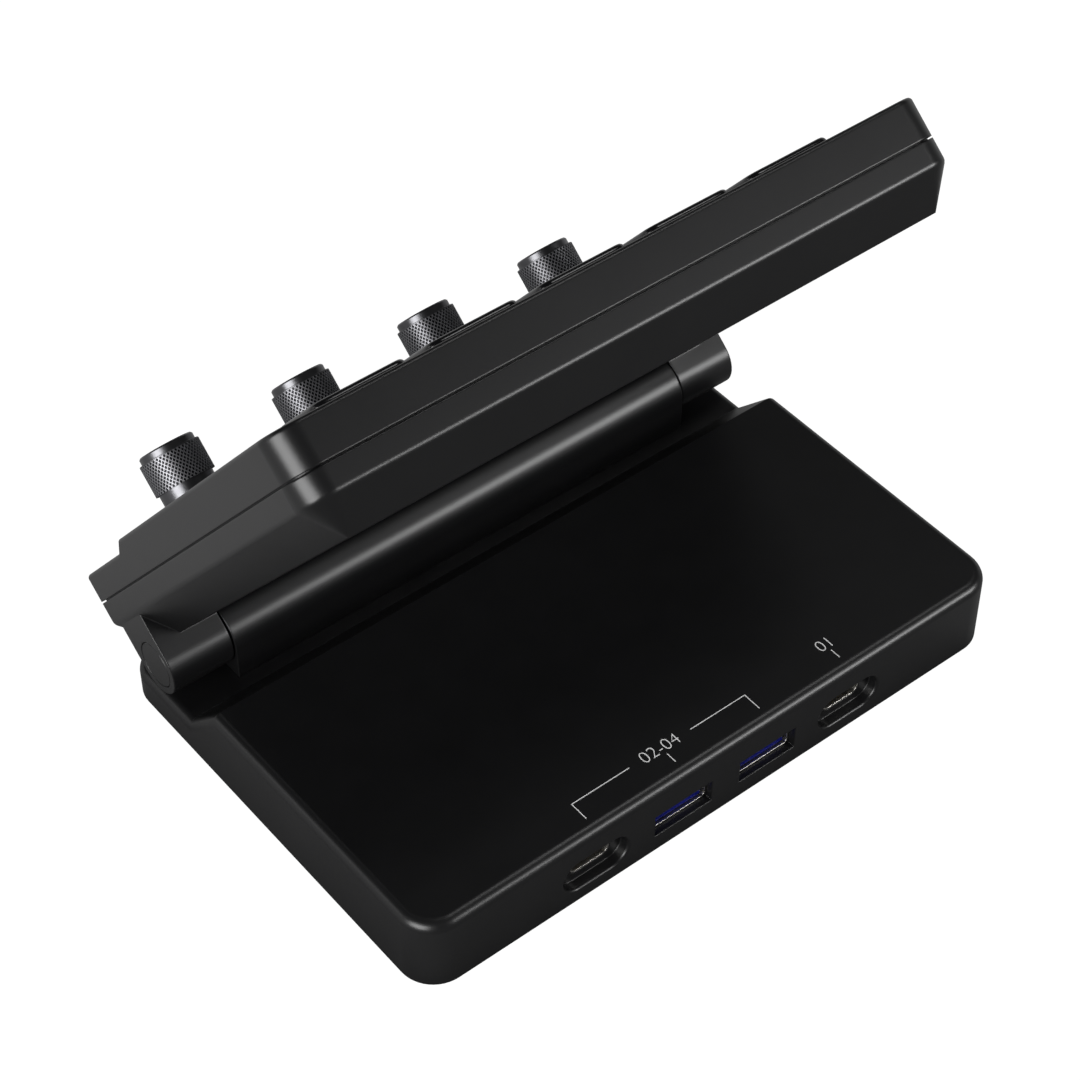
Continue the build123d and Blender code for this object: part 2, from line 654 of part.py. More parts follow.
with BuildPart() as usb_c_tongues:
    blocks(
        SOCKET_PLANE.offset(-TONGUE_C_SETBACK),
        USB_C_PLACES,
        INNER_C_WIDTH - 2 * TONGUE_C_SIDE_GAP,
        TONGUE_C_THICKNESS,
        TONGUE_C_SETBACK - USB_C_LENGTH,
    )
    slots(
        SOCKET_PLANE.offset(-USB_C_LENGTH),
        USB_C_PLACES,
        INNER_C_WIDTH - 2 * PRESS_GAP,
        INNER_C_HEIGHT - 2 * PRESS_GAP,
        TONGUE_BACK,
    )
finish(usb_c_tongues, "usb_c_tongues")

# Hinge barrel: a round top on upright walls that stand on the shelf
BARREL_SHANK_DEPTH = HINGE_Z - BARREL_BORE - BARREL_SCREW_COVER - SHELF_TOP
with BuildPart() as hinge_barrel:
    with BuildSketch(Plane.YZ.offset(-BARREL_END)):
        with Locations((HINGE_Y, HINGE_Z)):
            Circle(BARREL_RADIUS)
        with Locations((HINGE_Y, (HINGE_Z + SHELF_TOP) / 2)):
            Rectangle(2 * BARREL_RADIUS, HINGE_Z - SHELF_TOP)
        with Locations((HINGE_Y, HINGE_Z)):
            Circle(BARREL_BORE, mode=Mode.SUBTRACT)
    extrude(amount=2 * BARREL_END)
    posts(
        Plane.XY.offset(SHELF_TOP),
        BARREL_SCREWS,
        BARREL_SHANK_RADIUS + PRESS_GAP,
        BARREL_SHANK_DEPTH + FIXED_GAP,
        Mode.SUBTRACT,
    )
    posts(
        Plane.XY.offset(SHELF_TOP),
        CABLE_PLACES,
        CABLE_RADIUS + CABLE_HOLE_GAP,
        HINGE_Z - SHELF_TOP,
        Mode.SUBTRACT,
    )
finish(hinge_barrel, "hinge_barrel")

# Screws that hold the barrel, from under the shelf
with BuildPart() as barrel_screws:
    screws(
        Plane.XY.offset(SHELF_UNDER - BARREL_HEAD_HEIGHT),
        BARREL_SCREWS,
        BARREL_HEAD_RADIUS,
        BARREL_HEAD_HEIGHT,
        BARREL_SHANK_RADIUS,
        BASE_ROOF + BARREL_SHANK_DEPTH,
    )
finish(barrel_screws, "barrel_screws")

# Friction bushes: slit rings in the barrel's ends that grip the pins
with BuildPart() as friction_bushes:
    axle(BUSH_RADIUS, BUSH_OUTER - BUSH_LENGTH, BUSH_OUTER)
    axle(PIN_RADIUS + RUNNING_GAP, BUSH_OUTER - BUSH_LENGTH, BUSH_OUTER, mode=Mode.SUBTRACT)
    with BuildSketch(Plane.YZ.offset(-BUSH_OUTER)):
        with Locations((HINGE_Y, HINGE_Z - BUSH_RADIUS / 2)):
            Rectangle(BUSH_SLIT, BUSH_RADIUS + OVERRUN)
    extrude(amount=2 * BUSH_OUTER, mode=Mode.SUBTRACT)
finish(friction_bushes, "friction_bushes")

# Head lower block: the outside of the bottom shell before it is hollowed
with BuildPart() as head_lower_block:
    head_slab(BAND_FOOT, 0, BAND_HEIGHT)
    loft([head_outline(BAND_FOOT, 0), head_outline(FLOOR, CHAMFER_INSET)], ruled=True)
    band_edges = [
        edge
        for edge in head_lower_block.edges()
        if abs(HEAD.to_local_coords(edge.center()).Z - BAND_FOOT) < FIXED_GAP
    ]
    fillet(band_edges, min(BAND_EDGE, HEAD_FRONT_CORNER - FIXED_GAP))

# Channel roof: the wall inside the head that closes the channel for the barrel
ROOF_RADIUS = CHANNEL_RADIUS + CHANNEL_WALL
with BuildPart() as channel_roof:
    with BuildSketch(HEAD_SIDE.offset(-LUG_INNER)):
        Circle(ROOF_RADIUS)
        with Locations((HEAD_FRONT / 2, ROOF_RADIUS / 2)):
            Rectangle(-HEAD_FRONT, ROOF_RADIUS)
    extrude(amount=2 * LUG_INNER)
    add(head_lower_block.part, mode=Mode.INTERSECT)

# Head bottom shell, with the hinge lugs, the screw bosses and the board's posts
INNER_LEAN = CHAMFER_INSET / CHAMFER_HEIGHT
FLOOR_INSET = HEAD_WALL + INNER_LEAN * (BAND_FOOT - FLOOR_TOP)
TONGUE_INSET = SEAM_DEPTH + FIXED_GAP
with BuildPart() as head_bottom_shell:
    add(head_lower_block.part)
    head_slab(BAND_FOOT, TONGUE_INSET, TONGUE_TOP - BAND_FOOT)
    head_slab(BAND_FOOT, HEAD_WALL, TONGUE_TOP - BAND_FOOT, Mode.SUBTRACT)
    loft(
        [head_outline(BAND_FOOT, HEAD_WALL), head_outline(FLOOR_TOP, FLOOR_INSET)],
        ruled=True,
        mode=Mode.SUBTRACT,
    )
    add(channel_roof.part)
    for side in (-1, 1):
        with BuildSketch(HEAD_SIDE.offset(side * LUG_INNER)):
            Circle(LUG_RADIUS)
            with Locations((0, BAND_FOOT / 2)):
                Rectangle(2 * LUG_RADIUS, BAND_FOOT)
        extrude(amount=side * LUG_WIDTH)
    with BuildSketch(HEAD_SIDE.offset(-LUG_INNER)):
        Circle(CHANNEL_RADIUS)
        with Locations((HEAD_FRONT / 2 - OVERRUN / 2, CHANNEL_RADIUS / 2)):
            Rectangle(OVERRUN - HEAD_FRONT, CHANNEL_RADIUS)
    extrude(amount=2 * LUG_INNER, mode=Mode.SUBTRACT)
    axle(PIN_RADIUS + PRESS_GAP, LUG_INNER, PIN_OUTER, mode=Mode.SUBTRACT)
    axle(POCKET_RADIUS, PIN_OUTER, POCKET_OUTER, mode=Mode.SUBTRACT)
    axle(CAP_RADIUS + PRESS_GAP, POCKET_OUTER, LUG_OUTER, mode=Mode.SUBTRACT)
    posts(HEAD, [(CABLE_LUG_X, 0)], CABLE_RADIUS + CABLE_HOLE_GAP, BAND_FOOT, Mode.SUBTRACT)
    posts(HEAD.offset(FLOOR_TOP), HEAD_SCREWS, HEAD_BOSS_RADIUS, BOSS_JOINT - FLOOR_TOP)
    posts(HEAD.offset(FLOOR_TOP), BOARD_SCREWS, BOARD_POST_RADIUS, MAIN_BOTTOM - FLOOR_TOP)
    posts(
        HEAD.offset(FLOOR),
        HEAD_SCREWS,
        HEAD_HEAD_RADIUS + FIXED_GAP,
        HEAD_HEAD_DEPTH + HEAD_HEAD_HEIGHT,
        Mode.SUBTRACT,
    )
    posts(HEAD.offset(FLOOR), HEAD_SCREWS, HEAD_SHANK_RADIUS + FIXED_GAP, BOSS_JOINT - FLOOR, Mode.SUBTRACT)
    posts(
        HEAD.offset(MAIN_BOTTOM),
        BOARD_SCREWS,
        BOARD_SCREW_SHANK_RADIUS + PRESS_GAP,
        BOARD_THICKNESS - BOARD_SCREW_SHANK_LENGTH - FIXED_GAP,
        Mode.SUBTRACT,
    )
finish(head_bottom_shell, "head_bottom_shell")

# Head upper room: the space under the deck and the lip
with BuildPart() as head_upper_room:
    head_slab(SEAM_HIGH, HEAD_WALL, DECK_UNDER - SEAM_HIGH)
    head_step(LIP_UNDER, DECK_UNDER)

# Head top shell, with the stepped deck, the key windows and the dial holes
KEY_WINDOW = KEY_SIZE + 2 * KEY_GAP
with BuildPart() as head_top_shell:
    head_slab(SEAM_HIGH, 0, UPPER_HEIGHT)
    head_step(LIP, DECK)
    upright = Axis(HEAD.origin, HEAD_UP)
    deck_edges = head_top_shell.edges().filter_by(upright, reverse=True).filter_by(
        lambda edge: HEAD.to_local_coords(edge.center()).Z > SEAM_HIGH + FIXED_GAP
    )
    creases = deck_edges.filter_by(Axis.X).filter_by(
        lambda edge: abs(HEAD.to_local_coords(edge.center()).Y - STEP_LOW) < STEP_RUN + FIXED_GAP
    )
    fillet([edge for edge in deck_edges if edge not in creases], DECK_EDGE)
    add(head_upper_room.part, mode=Mode.SUBTRACT)
    rabbet_height = TONGUE_TOP + FIXED_GAP - SEAM_HIGH
    head_slab(SEAM_HIGH, SEAM_DEPTH, rabbet_height, Mode.SUBTRACT)
    with BuildSketch(field_plane(DECK_UNDER)):
        with GridLocations(KEY_PITCH, KEY_PITCH, KEY_COLUMNS, KEY_ROWS):
            RectangleRounded(KEY_WINDOW, KEY_WINDOW, KEY_CORNER + KEY_GAP)
    extrude(amount=HEAD_ROOF, mode=Mode.SUBTRACT)
    posts(HEAD.offset(LIP_UNDER), DIALS, BUSHING_RADIUS + FIXED_GAP, HEAD_ROOF, Mode.SUBTRACT)
    posts(HEAD.offset(BOSS_JOINT), HEAD_SCREWS, HEAD_BOSS_RADIUS, DECK_UNDER - BOSS_JOINT)
    posts(
        HEAD.offset(BOSS_JOINT), HEAD_SCREWS, HEAD_SHANK_RADIUS + PRESS_GAP, HEAD_PILOT_DEPTH, Mode.SUBTRACT
    )
finish(head_top_shell, "head_top_shell")

# Hinge pins, and the caps that close the lugs
with BuildPart() as hinge_pins:
    axle(PIN_RADIUS, PIN_INNER, PIN_OUTER)
    axle(PIN_BORE, PIN_INNER, PIN_OUTER, mode=Mode.SUBTRACT)
finish(hinge_pins, "hinge_pins")

with BuildPart() as hinge_caps:
    axle(CAP_RADIUS, POCKET_OUTER, LUG_OUTER)
finish(hinge_caps, "hinge_caps")

# Screws that hold the head's shells together
with BuildPart() as head_screws:
    screws(
        HEAD.offset(FLOOR + HEAD_HEAD_DEPTH),
        HEAD_SCREWS,
        HEAD_HEAD_RADIUS,
        HEAD_HEAD_HEIGHT,
        HEAD_SHANK_RADIUS,
        BOSS_JOINT + HEAD_PILOT_DEPTH - FIXED_GAP - FLOOR - HEAD_HEAD_DEPTH - HEAD_HEAD_HEIGHT,
    )
finish(head_screws, "head_screws")

# Main board with its chips and screws
BOARD_INSET = HEAD_WALL + MAIN_BOARD_MARGIN
with BuildPart() as main_board:
    head_slab(MAIN_BOTTOM, BOARD_INSET, BOARD_THICKNESS)
    posts(
        HEAD.offset(MAIN_BOTTOM),
        HEAD_SCREWS,
        HEAD_BOSS_RADIUS + BOSS_HOLE_GAP,
        BOARD_THICKNESS,
        Mode.SUBTRACT,
    )
    posts(
        HEAD.offset(MAIN_BOTTOM),
        BOARD_SCREWS,
        BOARD_SCREW_SHANK_RADIUS + FIXED_GAP,
        BOARD_THICKNESS,
        Mode.SUBTRACT,
    )
finish(main_board, "main_board")

with BuildPart() as board_chips:
    chips = [(-KEY_PITCH, KEYS_Y), (KEY_PITCH, KEYS_Y)]
    blocks(HEAD.offset(MAIN_TOP), chips, MAIN_CHIP_SIZE, MAIN_CHIP_SIZE, MAIN_CHIP_HEIGHT)
finish(board_chips, "board_chips")

with BuildPart() as board_screws:
    posts(HEAD.offset(MAIN_TOP), BOARD_SCREWS, BOARD_SCREW_HEAD_RADIUS, BOARD_SCREW_HEAD_HEIGHT)
    posts(HEAD.offset(MAIN_TOP), BOARD_SCREWS, BOARD_SCREW_SHANK_RADIUS, -BOARD_SCREW_SHANK_LENGTH)
finish(board_screws, "board_screws")

# Display bracket, display panel and key membrane
BRACKET_HEIGHT = PANEL_BOTTOM - MAIN_TOP
with BuildPart() as display_bracket:
    blocks(field_plane(MAIN_TOP), [(0, 0)], FIELD_WIDTH, FIELD_DEPTH, BRACKET_HEIGHT)
    blocks(
        field_plane(MAIN_TOP),
        [(0, 0)],
        FIELD_WIDTH - 2 * BRACKET_WIDTH,
        FIELD_DEPTH - 2 * BRACKET_WIDTH,
        BRACKET_HEIGHT,
        Mode.SUBTRACT,
    )
finish(display_bracket, "display_bracket")

with BuildPart() as display_panel:
    blocks(field_plane(PANEL_BOTTOM), [(0, 0)], FIELD_WIDTH, FIELD_DEPTH, PANEL_THICKNESS)
finish(display_panel, "display_panel")

MEMBRANE_WINDOW = KEY_SIZE - 2 * MEMBRANE_SHOULDER
with BuildPart() as key_membrane:
    blocks(field_plane(PANEL_TOP), [(0, 0)], FIELD_WIDTH, FIELD_DEPTH, MEMBRANE_THICKNESS)
    with BuildSketch(field_plane(PANEL_TOP)):
        with GridLocations(KEY_PITCH, KEY_PITCH, KEY_COLUMNS, KEY_ROWS):
            RectangleRounded(MEMBRANE_WINDOW, MEMBRANE_WINDOW, KEY_CORNER)
    extrude(amount=MEMBRANE_THICKNESS, mode=Mode.SUBTRACT)
finish(key_membrane, "key_membrane")

# Keys, numbered along each row from the rear left
FLANGE_SIZE = KEY_SIZE + 2 * KEY_FLANGE
for row in range(KEY_ROWS):
    for column in range(KEY_COLUMNS):
        key_plane = field_plane(
            KEY_BOTTOM,
            (column - (KEY_COLUMNS - 1) / 2) * KEY_PITCH,
            ((KEY_ROWS - 1) / 2 - row) * KEY_PITCH,
        )
        with BuildPart() as key:
            slab(key_plane, KEY_SIZE, KEY_SIZE, KEY_CORNER, KEY_TOP - KEY_BOTTOM)
            fillet(key.faces().sort_by(upright)[-1].edges(), KEY_EDGE)
            slab(key_plane, FLANGE_SIZE, FLANGE_SIZE, KEY_CORNER + KEY_FLANGE, KEY_FLANGE_HEIGHT)
        finish(key, f"key_{row * KEY_COLUMNS + column + 1}")

# Push encoders on the main board
with BuildPart() as encoder_bodies:
    blocks(HEAD.offset(MAIN_TOP), DIALS, ENCODER_SIZE, ENCODER_SIZE, ENCODER_TOP - MAIN_TOP)
    posts(HEAD.offset(MAIN_TOP), DIALS, BUSHING_RADIUS, BUSHING_END - MAIN_TOP)
    posts(
        HEAD.offset(BORE_BOTTOM), DIALS, SHAFT_RADIUS + RUNNING_GAP, BUSHING_END - BORE_BOTTOM, Mode.SUBTRACT
    )
finish(encoder_bodies, "encoder_bodies")

# Dials, each with its shaft and the plunger that the shaft pushes on
for number, place in enumerate(DIALS, 1):
    with BuildPart() as plunger:
        posts(HEAD.offset(PLUNGER_BOTTOM), [place], SHAFT_RADIUS - RUNNING_GAP, PLUNGER_HEIGHT)
    finish(plunger, f"encoder_plunger_{number}")

    with BuildPart() as shaft:
        posts(HEAD.offset(SHAFT_BOTTOM), [place], SHAFT_RADIUS, SHAFT_TOP - FIXED_GAP - SHAFT_BOTTOM)
    finish(shaft, f"encoder_shaft_{number}")

    with BuildPart() as dial:
        posts(HEAD.offset(DIAL_BOTTOM), [place], DIAL_RADIUS - DIAL_NECK_STEP, DIAL_NECK)
        posts(HEAD.offset(BAND_LOW), [place], DIAL_RADIUS, DIAL_BAND)
        posts(HEAD.offset(BAND_HIGH), [place], DIAL_RADIUS - DIAL_RIM_STEP, DIAL_RIM)
        chamfer(dial.faces().sort_by(upright)[-1].edges(), DIAL_BEVEL)
        posts(
            HEAD.offset(DIAL_BOTTOM),
            [place],
            SHAFT_RADIUS + PRESS_GAP,
            SHAFT_TOP - DIAL_BOTTOM,
            Mode.SUBTRACT,
        )
        posts(
            HEAD.offset(DIAL_BOTTOM),
            [place],
            BUSHING_RADIUS + DIAL_SOCKET_GAP,
            SOCKET_TOP - DIAL_BOTTOM,
            Mode.SUBTRACT,
        )
    finish(dial, f"dial_{number}")

# Link cable: from the main board down into the lug, along the hinge axis, and down to the hub board
with BuildPart() as link_cable_head:
    with BuildLine():
        FilletPolyline(
            HEAD.from_local_coords((CABLE_MEET_X + FIXED_GAP, 0, 0)),
            HEAD.from_local_coords((CABLE_LUG_X, 0, 0)),
            HEAD.from_local_coords((CABLE_LUG_X, 0, MAIN_BOTTOM)),
            radius=CABLE_BEND,
        )
    with BuildSketch(HEAD_SIDE.offset(CABLE_MEET_X + FIXED_GAP)):
        Circle(CABLE_RADIUS)
    sweep()
finish(link_cable_head, "link_cable_head")

with BuildPart() as link_cable_base:
    hub_middle_z = (HUB_BOTTOM + HUB_TOP) / 2
    with BuildLine():
        FilletPolyline(
            (CABLE_MEET_X, HINGE_Y, HINGE_Z),
            (CABLE_BASE_X, HINGE_Y, HINGE_Z),
            (CABLE_BASE_X, HINGE_Y, hub_middle_z),
            (CABLE_BASE_X, HUB_FRONT, hub_middle_z),
            radius=CABLE_BEND,
        )
    with BuildSketch(Plane((CABLE_MEET_X, HINGE_Y, HINGE_Z), x_dir=(0, 1, 0), z_dir=(-1, 0, 0))):
        Circle(CABLE_RADIUS)
    sweep()
finish(link_cable_base, "link_cable_base")
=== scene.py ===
"""Tilting stream controller: finishes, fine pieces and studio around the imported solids."""
import json
import math

import bmesh
import bpy
from mathutils import Matrix, Vector


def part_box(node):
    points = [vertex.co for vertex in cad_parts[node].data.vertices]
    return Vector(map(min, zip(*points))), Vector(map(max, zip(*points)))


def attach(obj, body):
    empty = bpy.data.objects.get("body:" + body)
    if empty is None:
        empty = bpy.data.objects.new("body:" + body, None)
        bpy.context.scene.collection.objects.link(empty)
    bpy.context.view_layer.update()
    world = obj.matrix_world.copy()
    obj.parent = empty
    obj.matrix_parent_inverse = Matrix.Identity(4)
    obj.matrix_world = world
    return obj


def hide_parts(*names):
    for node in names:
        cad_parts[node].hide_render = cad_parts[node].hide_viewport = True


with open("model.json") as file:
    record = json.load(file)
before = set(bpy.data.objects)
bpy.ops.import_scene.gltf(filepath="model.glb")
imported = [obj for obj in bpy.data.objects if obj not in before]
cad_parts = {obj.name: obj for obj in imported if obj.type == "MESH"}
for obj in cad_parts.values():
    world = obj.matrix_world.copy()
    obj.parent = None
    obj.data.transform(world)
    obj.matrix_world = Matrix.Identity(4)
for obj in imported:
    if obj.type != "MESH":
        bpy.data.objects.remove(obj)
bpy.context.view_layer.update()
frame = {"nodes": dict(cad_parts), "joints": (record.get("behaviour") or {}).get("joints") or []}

bl_info = {
    "name": "Stream controller",
    "version": (1, 0, 0),
    "blender": (4, 5, 0),
    "location": "View3D > Sidebar > Controller",
    "description": "Dresses the packed stream controller with its finishes and fine pieces",
    "category": "Object",
}

MM = 0.001
NODES = frame["nodes"]
JOINTS = {joint["name"]: joint for joint in frame["joints"]}
DIALS = [name[5:-5] for name in JOINTS if name.startswith("dial_") and name.endswith("_turn")]
KEYS = [name[4:-6] for name in JOINTS if name.startswith("key_") and name.endswith("_press")]
SMOOTH_ANGLE = math.radians(32)
QUARTER_TURN = math.pi / 2

# Sides of the turned shapes
DIAL_SIDES, CAP_SIDES, PIP_SIDES, FLOOR_SIDES = 96, 72, 10, 96
# Steps in a key's rounded edge, points on each of its sides, and shares of the lens's width to its middle
KEY_ARCS, KEY_SIDES = 6, 8
LENS_RINGS = (0.92, 0.84, 0.72, 0.58, 0.44, 0.3, 0.16)
# Font size over the height of a numeral
FONT_SHARE = 1.4

# The head's own frame: X along the hinge, Y to the rear over the deck, Z out of the deck
UP = Vector(JOINTS["dial_1_turn"]["axis"]).normalized()
ACROSS = Vector((1, 0, 0))
HEAD = Matrix((ACROSS, UP.cross(ACROSS), UP)).transposed().to_4x4()
HEAD.translation = Vector(JOINTS["head_tilt"]["pos_m"])


def head_box(node):
    """Lowest and highest corner of a solid, in the head's own frame."""
    back = HEAD.inverted()
    points = [back @ vertex.co for vertex in NODES[node].data.vertices]
    return Vector(map(min, zip(*points))), Vector(map(max, zip(*points)))


def front_face(node):
    """Lowest and highest corner of the face towards the plug, on the +X side of a pair of tongues."""
    points = [vertex.co for vertex in NODES[node].data.vertices if vertex.co.x > 0]
    front = max(point.y for point in points)
    face = [point for point in points if front - point.y < 0.01 * MM]
    return Vector(map(min, zip(*face))), Vector(map(max, zip(*face)))


def linear(tint):
    """An sRGB hex colour as linear red, green, blue and alpha; a linear colour stays as it is."""
    if not isinstance(tint, str):
        return tuple(tint)
    shares = [int(tint[at:at + 2], 16) / 255 for at in (1, 3, 5)]
    return tuple(s / 12.92 if s <= 0.04045 else ((s + 0.055) / 1.055) ** 2.4 for s in shares) + (1.0,)


def shade(tint, part):
    """A darker or paler shade of a colour."""
    return tuple(min(1.0, part * share) for share in linear(tint)[:3]) + (1.0,)


def middle_of(low, high, level=0.0):
    """The middle of a box seen from above, at a level."""
    return Vector(((low.x + high.x) / 2, (low.y + high.y) / 2, level))


def put(name, data):
    """A new object in the scene."""
    made = bpy.data.objects.new(name, data)
    bpy.context.scene.collection.objects.link(made)
    return made


def aim(made, place, target):
    """Puts a lamp or a camera in its place and points it at its target."""
    made.location = place
    made.rotation_euler = (Vector(target) - made.location).to_track_quat("-Z", "Y").to_euler()


def taken(carrier):
    """The plain mesh that an object gives; the object itself goes."""
    graph = bpy.context.evaluated_depsgraph_get()
    mesh = bpy.data.meshes.new_from_object(
        carrier.evaluated_get(graph), preserve_all_data_layers=True, depsgraph=graph
    )
    carrier.modifiers.clear()
    bpy.data.objects.remove(carrier)
    return mesh


def length(name, value, description):
    """A length property, in metres, from a value in millimetres."""
    return bpy.props.FloatProperty(
        name=name, description=description, default=value * MM, precision=5, unit="LENGTH", subtype="DISTANCE"
    )


def colour(name, value, description):
    """A colour property from an sRGB hex value."""
    return bpy.props.FloatVectorProperty(
        name=name, description=description, default=linear(value), size=4, min=0, max=1, subtype="COLOR"
    )


class FinishColours(bpy.types.PropertyGroup):
    """Colours of the finishes that a user would change."""

    shell_deep: colour("Shell, deep", "#0d0d0e", "Darker tone of the moulded shells")
    shell_pale: colour("Shell, pale", "#141415", "Paler tone of the moulded shells")
    tongue: colour("USB-A tongue", "#050f66", "Blue of the tongues in the USB-A sockets")
    dial: colour("Dial", "#a0a0a4", "Worn ridges of the black anodised dials")
    nickel: colour("Socket", "#e6e3dc", "Nickel plating of the socket shells")
    lens: colour("Key lens", "#04060b", "Dark display seen through the clear key")
    ink: colour("Printed marks", "#f2f2f2", "White ink of the marks over the sockets")
    mask: colour("Boards", "#123a22", "Solder mask of the circuit boards")


class DialSizes(bpy.types.PropertyGroup):
    """Sizes of the knurled dials."""

    rim_step: length("Rim step", 0.6, "How far the smooth rim and neck stand inside the knurled band")
    band_low: length("Band from the foot", 5.65, "Height of the smooth neck under the band")
    band: length("Band height", 6.4, "Height of the knurled band")
    bevel: length("Bevel", 0.3, "Bevel on the top edge of the rim")
    depth: length("Knurl depth", 0.3, "Depth of the pits between the ridges")
    ridge: length("Ridge width", 0.15, "Width of the crossing ridges of the knurl")
    lower: length("Ridge step", 0.01, "How much lower the ridges of one hand stand than those of the other")
    shaft: length("Shaft bore", 3.02, "Radius of the bore for the shaft")
    socket: length("Socket radius", 3.9, "Radius of the room round the encoder's bushing")
    socket_depth: length("Socket depth", 1.3, "Depth of the room round the encoder's bushing")
    roof: length("Roof", 2.6, "Metal over the end of the shaft")
    dish: length("Top dish", 0.12, "Depth of the turned dish in the top face")
    dish_rim: length("Dish rim", 0.55, "Width of the flat ring round the dish")
    around: bpy.props.IntProperty(
        name="Crossings around", description="Crossings of ridges in one row", default=48, min=8
    )
    rows: bpy.props.IntProperty(
        name="Rows of crossings", description="Rows of crossings, each half a step on", default=12, min=1
    )


class KeySizes(bpy.types.PropertyGroup):
    """Sizes of the display keys."""

    flange: length("Flange", 0.9, "Width and height of the flange that keeps a key in its window")
    corner: length("Corner", 2.4, "Corner radius of a key")
    edge: length("Edge", 0.9, "Radius of a key's top edge")
    border: length("Border", 0.75, "Black border between the rounded edge and the lens")
    dish: length("Dish", 0.28, "How far the lens is dished in the middle")
    lens_step: length("Lens step", 0.06, "Fine step between border and lens")


class ScrewSizes(bpy.types.PropertyGroup):
    """Sizes of the cross-recess screws."""

    arm: length("Recess arm", 1.05, "Half length of the cross recess")
    arm_width: length("Recess width", 0.28, "Half width of the cross recess")
    recess: length("Recess depth", 0.45, "Depth of the cross recess")
    bevel: length("Head bevel", 0.2, "Bevel round the head")


class MarkSizes(bpy.types.PropertyGroup):
    """Sizes and places of the printed marks over the sockets, left and right as they are read from behind."""

    line: length("Line", 0.18, "Width of the printed lines")
    ink: length("Ink", 0.02, "Thickness of the ink")
    bracket_y: length("Bracket line", 39.3, "Distance of the bracket's long line from the middle")
    bracket_right: length("Bracket, right end", -10.3, "End of the bracket beside the host socket")
    bracket_left: length("Bracket, left end", 29.9, "End of the bracket over the outer socket")
    gap_right: length("Gap, right end", 2.63, "Where the long line stops for the numerals")
    gap_left: length("Gap, left end", 16.85, "Where the long line goes on after the numerals")
    tick_end: length("Tick end", 43.3, "How far the ticks reach to the rear edge")
    tick_start: length("Short tick start", 41.0, "Where the two short ticks start")
    middle: length("Middle tick", 9.5, "Place of the short tick under the bracket's numerals")
    single: length("Single tick", -29.9, "Place of the short tick under the host socket's numeral")
    numeral: length("Numeral height", 2.7, "Height of the numerals")
    thin: length("Numeral thinning", 0.075, "How much the strokes of the numerals are drawn in on each side")


class ContactSizes(bpy.types.PropertyGroup):
    """Sizes of the contacts on the tongues of the sockets."""

    thick: length("Thickness", 0.08, "Thickness of a contact")
    a_pitch: length("USB-A pitch", 2.3, "Distance between the contacts of a USB-A socket")
    a_width: length("USB-A width", 1.0, "Width of a USB-A contact")
    a_long: length("USB-A length", 6.0, "Length of a USB-A contact")
    a_back: length("USB-A setback", 2.2, "Distance from the tongue's front edge to its contacts")
    c_pitch: length("USB-C pitch", 0.5, "Distance between the contacts of a USB-C socket")
    c_width: length("USB-C width", 0.26, "Width of a USB-C contact")
    c_long: length("USB-C length", 3.2, "Length of a USB-C contact")
    c_back: length("USB-C setback", 0.5, "Distance from the tongue's front edge to its contacts")


class PadSizes(bpy.types.PropertyGroup):
    """Sizes of the anti-slip pad."""

    corner: length("Corner", 6.0, "Corner radius of the pad")
    pitch: length("Pip pitch", 2.4, "Distance between the pips")
    pip: length("Pip radius", 0.8, "Radius of a pip at its foot")
    height: length("Pip height", 0.3, "Height of a pip")
    margin: length("Margin", 3.2, "Plain margin round the pips")


class StageSizes(bpy.types.PropertyGroup):
    """Camera, lamps and floor."""

    camera: bpy.props.FloatVectorProperty(
        name="Camera", description="Place of the camera", default=(0.22972, 0.27960, 0.40499),
        subtype="TRANSLATION", unit="LENGTH",
    )
    target: bpy.props.FloatVectorProperty(
        name="Target", description="Point that the camera looks at", default=(-0.00887, -0.01781, 0.01222),
        subtype="TRANSLATION", unit="LENGTH",
    )
    lens: bpy.props.FloatProperty(name="Lens", description="Focal length in millimetres", default=95.056)
    floor: bpy.props.FloatProperty(
        name="Floor", description="Radius of the floor and of the wall round it", default=12.0, unit="LENGTH"
    )
    wall: bpy.props.FloatProperty(name="Wall", description="Height of the wall", default=3.0, unit="LENGTH")


def add(tree, kind, inputs=None, give=0, **settings):
    """Adds one node, sets it up, links what feeds it and gives back the output asked for."""
    made = tree.nodes.new(kind)
    for name, value in settings.items():
        setattr(made, name, value)
    for socket, value in (inputs or {}).items():
        if isinstance(value, bpy.types.NodeSocket):
            tree.links.new(value, made.inputs[socket])
        else:
            made.inputs[socket].default_value = value
    return made.outputs[give] if len(made.outputs) else made


def blank(name):
    """A material, its tree and the place on the object that its patterns follow."""
    if name in bpy.data.materials:
        raise RuntimeError(f"the finish {name} is made twice")
    material = bpy.data.materials.new(name)
    material.use_nodes = True
    material.node_tree.nodes.clear()
    place = add(material.node_tree, "ShaderNodeTexCoord", give="Object")
    return material, material.node_tree, place


def finished(tree, tone, gloss, height=None, relief=0.0, strength=1.0, edge=0.0, **shader):
    """Ends a finish: relief and edges rounded to the eye if asked, and the surface that carries them."""
    surface = {"Base Color": tone, "Roughness": gloss, **shader}
    if height is not None:
        inputs = {"Height": height, "Strength": strength, "Distance": relief * MM}
        if edge:
            inputs["Normal"] = add(tree, "ShaderNodeBevel", {"Radius": edge * MM}, samples=12)
        surface["Normal"] = add(tree, "ShaderNodeBump", inputs)
    add(tree, "ShaderNodeOutputMaterial", {"Surface": add(tree, "ShaderNodeBsdfPrincipled", surface)})


